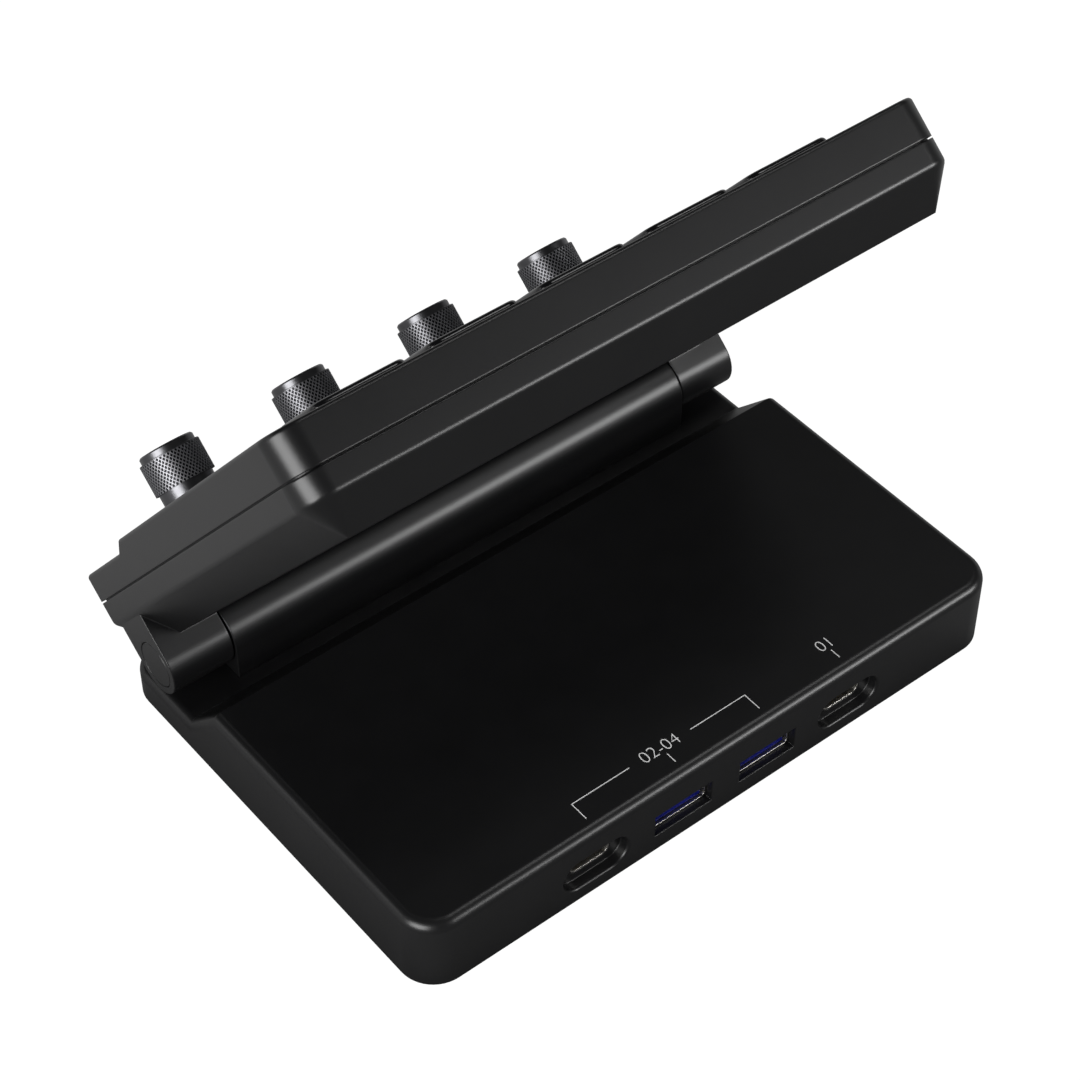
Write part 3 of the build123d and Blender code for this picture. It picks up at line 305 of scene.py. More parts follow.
def grained(name, tones, clouds, grain, stretch, rough, swing, relief, edge=0.0, **shader):
    """A cloudy tone, with grain in relief and gloss; clouds and grain each have a size and a detail."""
    material, tree, place = blank(name)
    drawn = add(tree, "ShaderNodeMapping", {"Vector": place, "Scale": stretch})
    cloud, marks = (
        add(tree, "ShaderNodeTexNoise", {"Vector": at, "Scale": 1 / (size * MM), "Detail": detail})
        for at, (size, detail) in ((place, clouds), (drawn, grain))
    )
    tones = {0: cloud, 6: linear(tones[0]), 7: linear(tones[1])}
    tone = add(tree, "ShaderNodeMix", tones, give=2, data_type="RGBA")
    ends = {"To Min": rough * (1 - swing), "To Max": rough * (1 + swing)}
    gloss = add(tree, "ShaderNodeMapRange", {"Value": marks, **ends})
    finished(tree, tone, gloss, marks, relief, edge=edge, **shader)
    return material


def moulded(name, deep, pale, rough, grain, relief, **more):
    """Moulded plastic or rubber: flow marks in tone, mould grain in relief and gloss."""
    return grained(name, (deep, pale), (9, 3), (grain, 2), (1, 1, 1), rough, 0.1, relief, **more)


def metal(name, tint, rough, grain, relief, stretch=(1, 1, 1), **more):
    """Bare or plated metal: fine marks drawn out along one way, in gloss and relief."""
    tones = shade(tint, 0.8), tint
    return grained(name, tones, (6, 2), (grain, 4), stretch, rough, 0.3, relief, Metallic=1.0, **more)


def anodised_dial(tint, core):
    """Black anodised aluminium, turned and knurled: dark metal whose turning marks stretch the highlights."""
    material, tree, place = blank("black_anodised_turned_aluminium")
    radius = add(tree, "ShaderNodeAttribute", give="Fac", attribute_name="turning")
    # Turning marks of 0.05 mm feed, drawn about seven times as coarse so that they show
    along = add(tree, "ShaderNodeCombineXYZ", {"X": radius})
    waves = {"Vector": along, "Scale": 1 / (1.2 * MM), "Distortion": 1.5, "Detail": 2}
    feed = add(tree, "ShaderNodeTexWave", waves)
    # Dye takes unevenly over a few millimetres
    dye = add(tree, "ShaderNodeTexNoise", {"Vector": place, "Scale": 1 / (3 * MM), "Detail": 3})
    deep, pale, black = (shade(tint, part) for part in (0.32, 0.45, 0.06))
    tone = add(tree, "ShaderNodeMix", {0: dye, 6: deep, 7: pale}, give=2, data_type="RGBA")
    # Painted shade: the pits of the knurl are given a near-black shade of the tint, far darker than the
    # ridges
    near = 0.05 * MM
    pit = add(tree, "ShaderNodeMath", {0: radius, 1: core, 2: near}, operation="COMPARE")
    tone = add(tree, "ShaderNodeMix", {0: pit, 6: tone, 7: black}, give=2, data_type="RGBA")
    # The ridges have no turning marks, a paler tone and a duller gloss than the turned rim
    ridge = add(tree, "ShaderNodeMath", {0: radius, 1: 0.0, 2: near}, operation="COMPARE")
    tone = add(tree, "ShaderNodeMix", {0: ridge, 6: tone, 7: linear(tint)}, give=2, data_type="RGBA")
    gloss = add(tree, "ShaderNodeMapRange", {"Value": feed, "To Min": 0.28, "To Max": 0.36})
    gloss = add(tree, "ShaderNodeMath", {0: ridge, 1: 0.2, 2: gloss}, operation="MULTIPLY_ADD")
    finished(tree, tone, gloss, feed, relief=0.01, strength=0.35, Metallic=1.0)
    return material


def key_lens(tint):
    """Clear polycarbonate over a dark display: deep gloss with a faint blue from the display's filters."""
    material, tree, place = blank("clear_polycarbonate_over_display")
    # Colour filter stripes of 0.08 mm, drawn as 0.3 mm so that they show
    turned = add(tree, "ShaderNodeMapping", {"Vector": place, "Scale": (1.0, 0.0, 0.0)})
    waves = {"Vector": turned, "Scale": 1 / (math.tau * 0.3 * MM), "Distortion": 0.0}
    stripes = add(tree, "ShaderNodeTexWave", waves, wave_type="BANDS")
    tones = {0: stripes, 6: linear(tint), 7: shade(tint, 1.6)}
    tone = add(tree, "ShaderNodeMix", tones, give=2, data_type="RGBA")
    smear = add(tree, "ShaderNodeTexNoise", {"Vector": place, "Scale": 1 / (7 * MM), "Detail": 3})
    gloss = add(tree, "ShaderNodeMapRange", {"Value": smear, "To Min": 0.05, "To Max": 0.13})
    finished(tree, tone, gloss, IOR=1.58, **{"Coat Weight": 0.4, "Coat Roughness": 0.04})
    return material


def circuit_board(mask):
    """Glass-fibre board under green solder mask: buried copper tracks show as paler runs in low relief."""
    material, tree, place = blank("solder_masked_glass_fibre")
    # Tracks of 0.3 mm on a 2.5 mm run
    runs = {
        "Vector": place, "Color1": linear(mask), "Color2": shade(mask, 1.9), "Mortar": shade(mask, 0.6),
        "Scale": 1 / (2.5 * MM), "Mortar Size": 0.06, "Brick Width": 2.4, "Row Height": 0.3,
    }
    tracks = add(tree, "ShaderNodeTexBrick", runs)
    fibre = add(tree, "ShaderNodeTexNoise", {"Vector": place, "Scale": 1 / (0.5 * MM), "Detail": 2})
    gloss = add(tree, "ShaderNodeMapRange", {"Value": fibre, "To Min": 0.22, "To Max": 0.36})
    finished(tree, tracks, gloss, tracks, relief=0.03, IOR=1.55)
    return material


def studio_white():
    """Matt white studio floor: white to the eye, a grey with painted shade in reflections, darker where a
    shadow falls.
    """
    material, tree, place = blank("matt_studio_white")
    paper = add(tree, "ShaderNodeTexNoise", {"Vector": place, "Scale": 1 / (40 * MM), "Detail": 2})
    tones = {0: paper, 6: linear("#7c7c7c"), 7: linear("#808080")}
    tone = add(tree, "ShaderNodeMix", tones, give=2, data_type="RGBA")
    kinds = ("Camera", "Glossy", "Transmission")
    camera, glossy, passed = (add(tree, "ShaderNodeLightPath", give=f"Is {kind} Ray") for kind in kinds)
    mirrored = add(tree, "ShaderNodeMath", {0: glossy, 1: passed}, operation="MAXIMUM")
    # Seen in a reflection, the sheet drops its lit tone and shows a grey glow with painted shade: it darkens
    # beside the object and behind it
    tone = add(tree, "ShaderNodeMix", {0: mirrored, 6: tone, 7: linear("#000000")}, give=2, data_type="RGBA")
    matt = add(tree, "ShaderNodeBsdfDiffuse", {"Color": tone})
    beside, contrast = 120 * MM, 3.0
    # Painted shade: ambient occlusion within 120 mm, raised to a power, darkens the reflected grey beside the
    # object
    painted_contact_shade = add(tree, "ShaderNodeAmbientOcclusion", {"Distance": beside}, give="AO", samples=4)
    painted_contact_shade = add(tree, "ShaderNodeMath", {0: painted_contact_shade, 1: contrast}, operation="POWER")
    # Painted shade: the reflected grey falls from 0.46 in front of the middle to 0.16 at 100 mm behind it
    away = add(tree, "ShaderNodeSeparateXYZ", {"Vector": place}, give="Y")
    fade = {"Value": away, "From Min": 0.0, "From Max": 100 * MM, "To Min": 0.46, "To Max": 0.16}
    away = add(tree, "ShaderNodeMapRange", fade)
    grey = add(tree, "ShaderNodeMath", {0: painted_contact_shade, 1: away}, operation="MULTIPLY")
    mirrored = add(tree, "ShaderNodeMath", {0: mirrored, 1: grey}, operation="MULTIPLY")
    white = 0.96
    strength = add(tree, "ShaderNodeMath", {0: camera, 1: white, 2: mirrored}, operation="MULTIPLY_ADD")
    glow = add(tree, "ShaderNodeEmission", {"Color": linear("#ffffff"), "Strength": strength})
    both = add(tree, "ShaderNodeAddShader", {0: matt, 1: glow})
    add(tree, "ShaderNodeOutputMaterial", {"Surface": both})
    return material


def new_tree(name, sums=(), **kinds):
    """A geometry node tree, and by name what its inputs give and what the sums work out from them."""
    tree = bpy.data.node_groups.new(name, "GeometryNodeTree")
    sockets = [("Geometry", "Geometry")]
    sockets += [(socket, kind) for kind, names in kinds.items() for socket in names.split()]
    for socket, kind in sockets:
        tree.interface.new_socket(socket, in_out="INPUT", socket_type=f"NodeSocket{kind}")
    tree.interface.new_socket("Geometry", in_out="OUTPUT", socket_type="NodeSocketGeometry")
    value = {socket: add(tree, "NodeGroupInput", give=socket) for socket, kind in sockets}
    if sums:
        value["index"] = add(tree, "GeometryNodeInputIndex")
    for result, operation, *terms in sums:
        given = {at: value.get(term, term) for at, term in enumerate(terms)}
        value[result] = add(tree, "ShaderNodeMath", given, operation=operation)
    return tree, value


def smoother():
    """Node tree that joins a solid's loose triangles and shades its rounds smooth, edges left sharp."""
    tree, value = new_tree("smooth_rounds")
    joined = add(tree, "GeometryNodeMergeByDistance", {"Geometry": value["Geometry"], "Distance": 0.001 * MM})
    angle = add(tree, "GeometryNodeInputMeshEdgeAngle", give="Unsigned Angle")
    soft = add(tree, "FunctionNodeCompare", {"A": angle, "B": SMOOTH_ANGLE}, operation="LESS_THAN")
    faces = add(tree, "GeometryNodeSetShadeSmooth", {"Geometry": joined, "Shade Smooth": True}, domain="FACE")
    edges = add(tree, "GeometryNodeSetShadeSmooth", {"Geometry": faces, "Shade Smooth": soft}, domain="EDGE")
    add(tree, "NodeGroupOutput", {"Geometry": edges})
    return tree


def dress(material, *names):
    """Gives carried-over solids their finish and shades their rounds smooth."""
    tree = bpy.data.node_groups.get("smooth_rounds") or smoother()
    for name in names:
        solid = NODES[name]
        if not solid.material_slots:
            solid.data.materials.append(None)
        for slot in solid.material_slots:
            slot.material = material
        solid.modifiers.new("smooth_rounds", "NODES").node_group = tree
        weigh = solid.modifiers.new("even_flats", "WEIGHTED_NORMAL")
        weigh.mode = "FACE_AREA"
        weigh.keep_sharp = True


def plain(shape):
    """The mesh of a shape that is done."""
    mesh = bpy.data.meshes.new("shape")
    shape.to_mesh(mesh)
    shape.free()
    return mesh


def strip(shape, low, high):
    """Joins two rings of points by faces and gives the faces back; a ring may be a single point."""
    faces = []
    for at in range(max(len(low), len(high))):
        corners = [low[at % len(low)], low[(at + 1) % len(low)]]
        corners += [high[(at + 1) % len(high)], high[at % len(high)]]
        faces.append(shape.faces.new(list(dict.fromkeys(corners))))
    return faces


def circle(radius, height, turns):
    """Points round Z, one at each turn."""
    return [Vector((radius * math.cos(turn), radius * math.sin(turn), height)) for turn in turns]


def even_turns(sides):
    """Evenly spaced turns round a circle."""
    return [math.tau * side / sides for side in range(sides)]


def lathe(profile, sides):
    """Turns (radius, height) pairs about Z into a mesh that keeps each point's radius for turning marks."""
    shape = bmesh.new()
    radius_of = shape.verts.layers.float.new("turning")
    turns = even_turns(sides)
    rings = []
    for radius, height in profile:
        points = circle(radius, height, turns if radius > 0 else turns[:1])
        rings.append([shape.verts.new(point) for point in points])
        for vertex in rings[-1]:
            vertex[radius_of] = radius
    for low, high in zip(rings, rings[1:]):
        strip(shape, low, high)
    bmesh.ops.recalc_face_normals(shape, faces=shape.faces)
    return plain(shape)


def rounded(width, depth, corner, height, steps=6, sides=0):
    """Points round a rectangle with rounded corners, at one height, with points on its sides if asked."""
    corners = []
    for quarter, (across, along) in enumerate(((1, 1), (-1, 1), (-1, -1), (1, -1))):
        turns = [QUARTER_TURN * (quarter + step / steps) for step in range(steps + 1)]
        x, y = across * (width / 2 - corner), along * (depth / 2 - corner)
        corners.append([
            Vector((x + corner * math.cos(turn), y + corner * math.sin(turn), height)) for turn in turns
        ])
    loop = []
    for here, there in zip(corners, corners[1:] + corners[:1]):
        loop += here
        loop += [here[-1].lerp(there[0], at / (sides + 1)) for at in range(1, sides + 1)]
    return loop


def loft(loops, bands=()):
    """Joins loops of equal length into a mesh closed at both ends; bands gives each strip's material."""
    shape = bmesh.new()
    rings = [[shape.verts.new(point) for point in loop] for loop in loops]
    strips = [strip(shape, low, high) for low, high in zip(rings, rings[1:])]
    strips[0].append(shape.faces.new(rings[0][::-1]))
    strips[-1].append(shape.faces.new(rings[-1]))
    for faces, band in zip(strips, bands):
        for face in faces:
            face.material_index = band
    bmesh.ops.recalc_face_normals(shape, faces=shape.faces)
    return plain(shape)


def bar(left, right, front, rear, low, high):
    """A square-edged bar between its six faces."""
    corners = ((right, rear), (left, rear), (left, front), (right, front))
    return loft([[Vector((x, y, level)) for x, y in corners] for level in (low, high)])


def merged(meshes):
    """Several meshes as one."""
    whole = bmesh.new()
    for mesh in meshes:
        whole.from_mesh(mesh)
    return plain(whole)


def place_piece(name, mesh, body, materials=(), replaces=()):
    """Puts a finished mesh in the scene, on its body, in place of the solids it stands for."""
    for material in materials:
        mesh.materials.append(material)
    mesh.name = name
    for face in mesh.polygons:
        face.use_smooth = True
    mesh.set_sharp_from_angle(angle=SMOOTH_ANGLE)
    made = put(name, mesh)
    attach(made, body)
    if replaces:
        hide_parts(*replaces)


def grown(mesh, tree, **values):
    """Runs a node tree over a mesh and gives back the plain result."""
    carrier = put("carrier", mesh)
    modifier = carrier.modifiers.new(tree.name, "NODES")
    modifier.node_group = tree
    for item in tree.interface.items_tree:
        key = item.name.lower()
        if item.in_out == "INPUT" and key in values:
            modifier[item.identifier] = values[key]
    result = taken(carrier)
    if not result.polygons:
        raise RuntimeError(f"the node tree {tree.name} gave nothing")
    return result


def knurl_tree():
    """Node tree that lays ridges of both hands over a turned core, crossing in rows half a step apart."""
    tree, value = new_tree("crossed_knurl", (
        ("count", "MULTIPLY", "Around", "Rows"),
        ("row", "DIVIDE", "index", "Around"),
        ("row", "FLOOR", "row"),
        ("step", "MODULO", "index", "Around"),
        ("half", "MODULO", "row", 2.0),
        ("step", "MULTIPLY_ADD", "half", 0.5, "step"),
        ("one", "DIVIDE", math.tau, "Around"),
        ("turn", "MULTIPLY", "step", "one"),
        ("band", "SUBTRACT", "High", "Low"),
        ("pitch", "DIVIDE", "band", "Rows"),
        ("order", "ADD", "row", 0.5),
        ("height", "MULTIPLY_ADD", "order", "pitch", "Low"),
        # Each crossing carries one short stave of each hand, as long as the way to the next crossing
        ("broad", "MULTIPLY", "one", "Radius"),
        ("broad", "MULTIPLY", "broad", 0.5),
        ("slope", "ARCTAN2", "pitch", "broad"),
        ("square", "MULTIPLY", "pitch", "pitch"),
        ("square", "MULTIPLY_ADD", "broad", "broad", "square"),
        ("long", "SQRT", "square"),
        ("tall", "ADD", "Depth", "Sunk"),
        ("stand", "MULTIPLY_ADD", "tall", -0.5, "Radius"),
        # The staves of one hand stand a little lower, and those of the other lean the other way
        ("low_stand", "SUBTRACT", "stand", "Lower"),
        ("back_slope", "MULTIPLY", "slope", -1.0),
    ), Float="Radius Depth Low High Ridge Sunk Lower", Int="Around Rows", Material="Finish")
    place = add(tree, "ShaderNodeCombineXYZ", {"Z": value["height"]})
    points = add(tree, "GeometryNodePoints", {"Count": value["count"], "Position": place})
    spin = add(tree, "ShaderNodeCombineXYZ", {"Z": value["turn"]})
    size = add(tree, "ShaderNodeCombineXYZ", {"X": value["tall"], "Y": value["long"], "Z": value["Ridge"]})
    stave = add(tree, "GeometryNodeMeshCube", {"Size": size})
    both = add(tree, "GeometryNodeJoinGeometry", {"Geometry": value["Geometry"]})
    for lean, stand in (("slope", "low_stand"), ("back_slope", "stand")):
        turned = add(tree, "ShaderNodeCombineXYZ", {"X": value[lean]})
        outward = add(tree, "ShaderNodeCombineXYZ", {"X": value[stand]})
        moved = {"Geometry": stave, "Translation": outward, "Rotation": turned}
        ridge = add(tree, "GeometryNodeTransform", moved)
        spread = {"Points": points, "Instance": ridge, "Rotation": spin}
        copies = add(tree, "GeometryNodeInstanceOnPoints", spread)
        tree.links.new(copies, both.node.inputs["Geometry"])
    real = add(tree, "GeometryNodeRealizeInstances", {"Geometry": both})
    done = add(tree, "GeometryNodeSetMaterial", {"Geometry": real, "Material": value["Finish"]})
    add(tree, "NodeGroupOutput", {"Geometry": done})
    return tree


def set_out_tree():
    """Node tree that repeats the mesh it is given in columns and rows about a centre."""
    tree, value = new_tree("set_out", (
        ("count", "MULTIPLY", "Columns", "Rows"),
        ("row", "DIVIDE", "index", "Columns"),
        ("row", "FLOOR", "row"),
        ("column", "MODULO", "index", "Columns"),
        ("last", "SUBTRACT", "Columns", 1.0),
        ("middle", "MULTIPLY", "last", 0.5),
        ("off", "SUBTRACT", "column", "middle"),
        ("x", "MULTIPLY", "off", "Across"),
        ("last", "SUBTRACT", "Rows", 1.0),
        ("middle", "MULTIPLY", "last", 0.5),
        ("off", "SUBTRACT", "row", "middle"),
        ("y", "MULTIPLY", "off", "Along"),
    ), Int="Columns Rows", Float="Across Along", Vector="Centre", Material="Finish")
    offset = add(tree, "ShaderNodeCombineXYZ", {"X": value["x"], "Y": value["y"]})
    position = add(tree, "ShaderNodeVectorMath", {0: offset, 1: value["Centre"]}, operation="ADD")
    points = add(tree, "GeometryNodePoints", {"Count": value["count"], "Position": position})
    copies = add(tree, "GeometryNodeInstanceOnPoints", {"Points": points, "Instance": value["Geometry"]})
    real = add(tree, "GeometryNodeRealizeInstances", {"Geometry": copies})
    done = add(tree, "GeometryNodeSetMaterial", {"Geometry": real, "Material": value["Finish"]})
    add(tree, "NodeGroupOutput", {"Geometry": done})
    return tree


def set_out(mesh, columns, rows, across, along, centre, finish):
    """Repeats a mesh in columns and rows as one plain mesh."""
    tree = bpy.data.node_groups.get("set_out") or set_out_tree()
    return grown(
        mesh, tree, columns=columns, rows=rows, across=across, along=along, centre=centre, finish=finish
    )


def cross_screw(sizes, head_radius, head_height, shank_radius, shank_length):
    """A screw with a cross recess: its head's face at height 0 looks down, its shank points up."""
    corner = math.atan2(sizes.arm_width, sizes.arm)
    quarter = [0.0, corner, (corner + math.pi / 4) / 2, math.pi / 4]
    quarter += [QUARTER_TURN - turn for turn in quarter[2:0:-1]]
    turns = [turn + at * QUARTER_TURN for at in range(4) for turn in quarter]

    def cross(turn):
        turn = turn % QUARTER_TURN
        turn = min(turn, QUARTER_TURN - turn)
        on_arm_end = turn <= corner + 1e-6
        return sizes.arm / math.cos(turn) if on_arm_end else sizes.arm_width / math.sin(turn)

    recess = [Vector((cross(turn) * math.cos(turn), cross(turn) * math.sin(turn), 0.0)) for turn in turns]
    return loft([
        [point * 0.5 + Vector((0, 0, sizes.recess)) for point in recess],
        recess,
        circle(head_radius - sizes.bevel, 0.0, turns),
        circle(head_radius, sizes.bevel, turns),
        circle(head_radius, head_height, turns),
        circle(shank_radius, head_height, turns),
        circle(shank_radius, head_height + shank_length, turns),
    ])


class CONTROLLER_OT_shells(bpy.types.Operator):
    """Give the moulded shells, the cover and the barrel their finish"""

    bl_idname = "controller.shells"
    bl_label = "Moulded shells"

    def execute(self, context):
        colours = context.scene.controller_colours
        # Satin black ABS from a finely spark-eroded mould: soft, slightly cloudy highlights, no mirror image.
        # The grain is 0.12 mm, drawn as 0.3 mm so that it shows.
        satin = moulded(
            "satin_black_abs", colours.shell_deep, colours.shell_pale, rough=0.33, grain=0.3, relief=0.0008,
            edge=0.4, IOR=1.54,
        )
        dress(satin, "base_top_shell", "hinge_barrel", "head_bottom_shell", "head_top_shell")
        # The cover's mould is coarser, so it looks duller and greyer
        coarse = moulded(
            "grained_black_abs", "#0d0d0e", "#151516", rough=0.56, grain=0.5, relief=0.012, IOR=1.54
        )
        dress(coarse, "base_bottom_cover", "display_bracket")
        return {"FINISHED"}


class CONTROLLER_OT_inner(bpy.types.Operator):
    """Give the pieces inside the shells their finishes"""

    bl_idname = "controller.inner"
    bl_label = "Inner pieces"

    def execute(self, context):
        dress(circuit_board(context.scene.controller_colours.mask), "hub_board", "main_board")
        plungers, shafts = ([f"encoder_{kind}_{dial}" for dial in DIALS] for kind in ("plunger", "shaft"))
        # Deep and pale tone, roughness, grain and relief in millimetres, and index of refraction
        mouldings = (
            # Epoxy moulded over the chips: flat dark grey with a fine sandy grain
            (("hub_chips", "board_chips"), "moulded_epoxy", "#101011", "#1a1a1b", 0.55, 0.25, 0.008, 1.56),
            # Silicone rubber: matt grey, faintly mottled
            (("key_membrane", *plungers), "grey_silicone", "#2c2c2e", "#38383a", 0.62, 0.4, 0.01, 1.41),
            # Polished glass of the display: black, with a faint unevenness in the gloss
            (("display_panel",), "polished_display_glass", "#050608", "#07080b", 0.06, 4.0, 0.0005, 1.52),
            # Extruded cable jacket: black and smooth, duller than the shells
            (("link_cable_base", "link_cable_head"), "extruded_vinyl_jacket", "#0c0c0c", "#141414", 0.5, 0.6,
             0.006, 1.53),
        )
        for nodes, *measures, refraction in mouldings:
            dress(moulded(*measures, IOR=refraction), *nodes)
        # Tone, roughness, grain and relief in millimetres, and how far the grain is drawn out each way
        metals = (
            # Sintered bronze: warm, dull and finely porous
            (("friction_bushes",), "sintered_bronze", "#b08a4c", 0.45, 0.3, 0.01),
            # Ground steel: pale, with grinding marks round the pin
            (("hinge_pins", *shafts), "ground_steel", "#b9b9bb", 0.25, 0.12, 0.002, (1, 0.1, 0.1)),
            # Pressed nickel silver of the encoder frames: satin, marks across the sheet
            (("encoder_bodies",), "pressed_nickel_silver", "#a8a6a0", 0.35, 0.2, 0.003, (0.1, 1, 1)),
            # Black zinc plating: dark grey metal with a dull sheen
            (("board_screws", "barrel_screws"), "black_zinc_steel", "#4a4a4d", 0.34, 0.25, 0.003),
        )
        for nodes, *measures in metals:
            dress(metal(*measures), *nodes)
        return {"FINISHED"}


class CONTROLLER_OT_sockets(bpy.types.Operator):
    """Give the sockets their finishes and set out their contacts"""

    bl_idname = "controller.sockets"
    bl_label = "Sockets and contacts"

    def execute(self, context):
        colours = context.scene.controller_colours
        # Nickel-plated steel sheet: bright and warm-white, with faint rolling marks from front to back
        nickel = metal(
            "nickel_plated_sheet", colours.nickel, rough=0.3, grain=0.15, stretch=(1, 0.08, 1), relief=0.0006,
            edge=0.16,
        )
        dress(nickel, "usb_a_shells", "usb_c_shells")
        # Blue liquid-crystal polymer: satin and deep, with pale flow marks
        blue = moulded(
            "blue_liquid_crystal_polymer", colours.tongue, shade(colours.tongue, 1.25), rough=0.45, grain=0.4,
            relief=0.003, IOR=1.3,
        )
        dress(blue, "usb_a_tongues")
        # The same polymer in black
        black = moulded(
            "black_liquid_crystal_polymer", "#0d0d0e", "#171718", rough=0.4, grain=0.4, relief=0.003, IOR=1.6
        )
        dress(black, "usb_c_tongues")
        # Gold-plated bronze: warm yellow, smooth, with faint marks from drawing
        gold = metal(
            "gold_plated_bronze", "#d8b465", rough=0.22, grain=0.2, stretch=(1, 0.1, 1), relief=0.002
        )
        sizes = context.scene.controller_contacts
        # Contacts in a row, their sizes, and whether a row lies on the lower face too
        plan = (
            ("usb_a_tongues", 4, sizes.a_pitch, sizes.a_width, sizes.a_long, sizes.a_back, False),
            ("usb_c_tongues", 12, sizes.c_pitch, sizes.c_width, sizes.c_long, sizes.c_back, True),
        )
        rows = []
        for node, count, pitch, wide, long, back, two_faced in plan:
            low, high = front_face(node)
            for side in (-1, 1):
                for level in (high.z, low.z) if two_faced else (high.z,):
                    middle = (side * (low.x + high.x) / 2, high.y - back - long / 2, level)
                    contact = bar(-wide / 2, wide / 2, -long / 2, long / 2, -sizes.thick / 2, sizes.thick / 2)
                    rows.append(set_out(contact, count, 1, pitch, pitch, middle, gold))
        place_piece("socket_contacts", merged(rows), "base", (gold,))
        return {"FINISHED"}


class CONTROLLER_OT_keys(bpy.types.Operator):
    """Make the display keys, each on its own body"""

    bl_idname = "controller.keys"
    bl_label = "Display keys"

    def execute(self, context):
        sizes = context.scene.controller_keys
        lens = key_lens(context.scene.controller_colours.lens)
        # Black polycarbonate skirt: smoother and glossier than the shells round it
        skirt = moulded(
            "gloss_black_polycarbonate", "#08080a", "#0c0c0f", rough=0.2, grain=0.8, relief=0.0008, IOR=1.58
        )
        for key in KEYS:
            low, high = head_box(f"key_{key}")
            wide = high.x - low.x
            cap = wide - 2 * sizes.flange
            # Width, corner radius and height of each square, from the foot to the middle of the lens
            squares = [
                (wide, sizes.corner + sizes.flange, low.z),
                (wide, sizes.corner + sizes.flange, low.z + sizes.flange),
                (cap, sizes.corner, low.z + sizes.flange),
            ]
            for arc in range(KEY_ARCS + 1):
                turn = QUARTER_TURN * arc / KEY_ARCS
                inset = sizes.edge * (1 - math.cos(turn))
                level = high.z - sizes.edge * (1 - math.sin(turn))
                squares.append((cap - 2 * inset, sizes.corner - inset, level))
            on_skirt = len(squares)
            window = cap - 2 * (sizes.edge + sizes.border)
            least = 0.4 * MM
            corner = max(sizes.corner - sizes.edge - sizes.border / 2, least)
            squares.append((window, corner, high.z))
            window -= sizes.lens_step
            for share in (1.0, *LENS_RINGS):
                squares.append((window * share, corner * share, high.z - sizes.lens_step))
            loops = [rounded(width, width, bend, level, sides=KEY_SIDES) for width, bend, level in squares]
            for point in (point for loop in loops[-len(LENS_RINGS):] for point in loop):
                point.z -= sizes.dish * (1 - (2 * point.x / window) ** 2) * (1 - (2 * point.y / window) ** 2)
            mesh = loft(loops, [0] * on_skirt + [1] * (len(loops) - 1 - on_skirt))
            mesh.transform(HEAD @ Matrix.Translation(middle_of(low, high)))
            place_piece(f"keycap_{key}", mesh, f"key_{key}", (skirt, lens), (f"key_{key}",))
        return {"FINISHED"}


class CONTROLLER_OT_dials(bpy.types.Operator):
    """Turn and knurl the dials, each on its own body"""

    bl_idname = "controller.dials"
    bl_label = "Knurled dials"

    def execute(self, context):
        sizes = context.scene.controller_dials
        low, high = head_box(f"dial_{DIALS[0]}")
        finish = anodised_dial(context.scene.controller_colours.dial, (high.x - low.x) / 2 - sizes.depth)
        tree = knurl_tree()
        for dial in DIALS:
            low, high = head_box(f"dial_{dial}")
            radius = (high.x - low.x) / 2
            rim = radius - sizes.rim_step
            foot = low.z
            band_low = foot + sizes.band_low
            band_high = band_low + sizes.band
            core = radius - sizes.depth
            shaft_end = high.z - sizes.roof
            socket_end = foot + sizes.socket_depth
            fine = sizes.bevel / 2
            # A plain collar closes the knurl at its top
            collar = band_high - 1.6 * fine
            flat = rim - sizes.bevel
            dish = flat - sizes.dish_rim
            profile = [
                (0.0, shaft_end), (sizes.shaft, shaft_end), (sizes.shaft, socket_end),
                (sizes.socket, socket_end), (sizes.socket, foot), (rim - fine, foot), (rim, foot + fine),
                (rim, band_low), (core, band_low + fine), (core, band_high - 2 * fine), (radius, collar),
                (radius, band_high - fine / 2), (radius - fine / 2, band_high), (rim, band_high),
                (rim, high.z - sizes.bevel), (flat, high.z), (dish, high.z),
                (dish - sizes.dish, high.z - sizes.dish), (0.0, high.z - sizes.dish),
            ]
            mesh = grown(
                lathe(profile, DIAL_SIDES), tree, radius=radius, depth=sizes.depth, low=band_low, high=collar,
                ridge=sizes.ridge, around=sizes.around, rows=sizes.rows, sunk=0.08 * MM, lower=sizes.lower,
                finish=finish,
            )
            mesh.transform(HEAD @ Matrix.Translation(middle_of(low, high)))
            place_piece(f"knurled_dial_{dial}", mesh, f"dial_{dial}", (), (f"dial_{dial}",))
        return {"FINISHED"}


class CONTROLLER_OT_screws(bpy.types.Operator):
    """Set out the screws under the base and under the head"""

    bl_idname = "controller.screws"
    bl_label = "Cross-recess screws"

    def execute(self, context):
        sizes = context.scene.controller_screws
        zinc = bpy.data.materials["black_zinc_steel"]
        # Rows of two screws, and in millimetres the head's radius, the head's height and the shank's radius
        kinds = (
            ("cover_screws", "base_screws", "base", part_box("base_screws"), Matrix(), 2, (1.8, 0.8, 0.9)),
            ("shell_screws", "head_screws", "head", head_box("head_screws"), HEAD, 3, (1.9, 1.3, 1.0)),
        )
        for name, node, body, (low, high), place, rows, measures in kinds:
            head, tall, shank = (measure * MM for measure in measures)
            across = high.x - low.x - 2 * head
            along = (high.y - low.y - 2 * head) / (rows - 1)
            screw = cross_screw(sizes, head, tall, shank, high.z - low.z - tall)
            mesh = set_out(screw, 2, rows, across, along, middle_of(low, high, low.z), zinc)
            mesh.transform(place)
            place_piece(name, mesh, body, (), (node,))
        return {"FINISHED"}


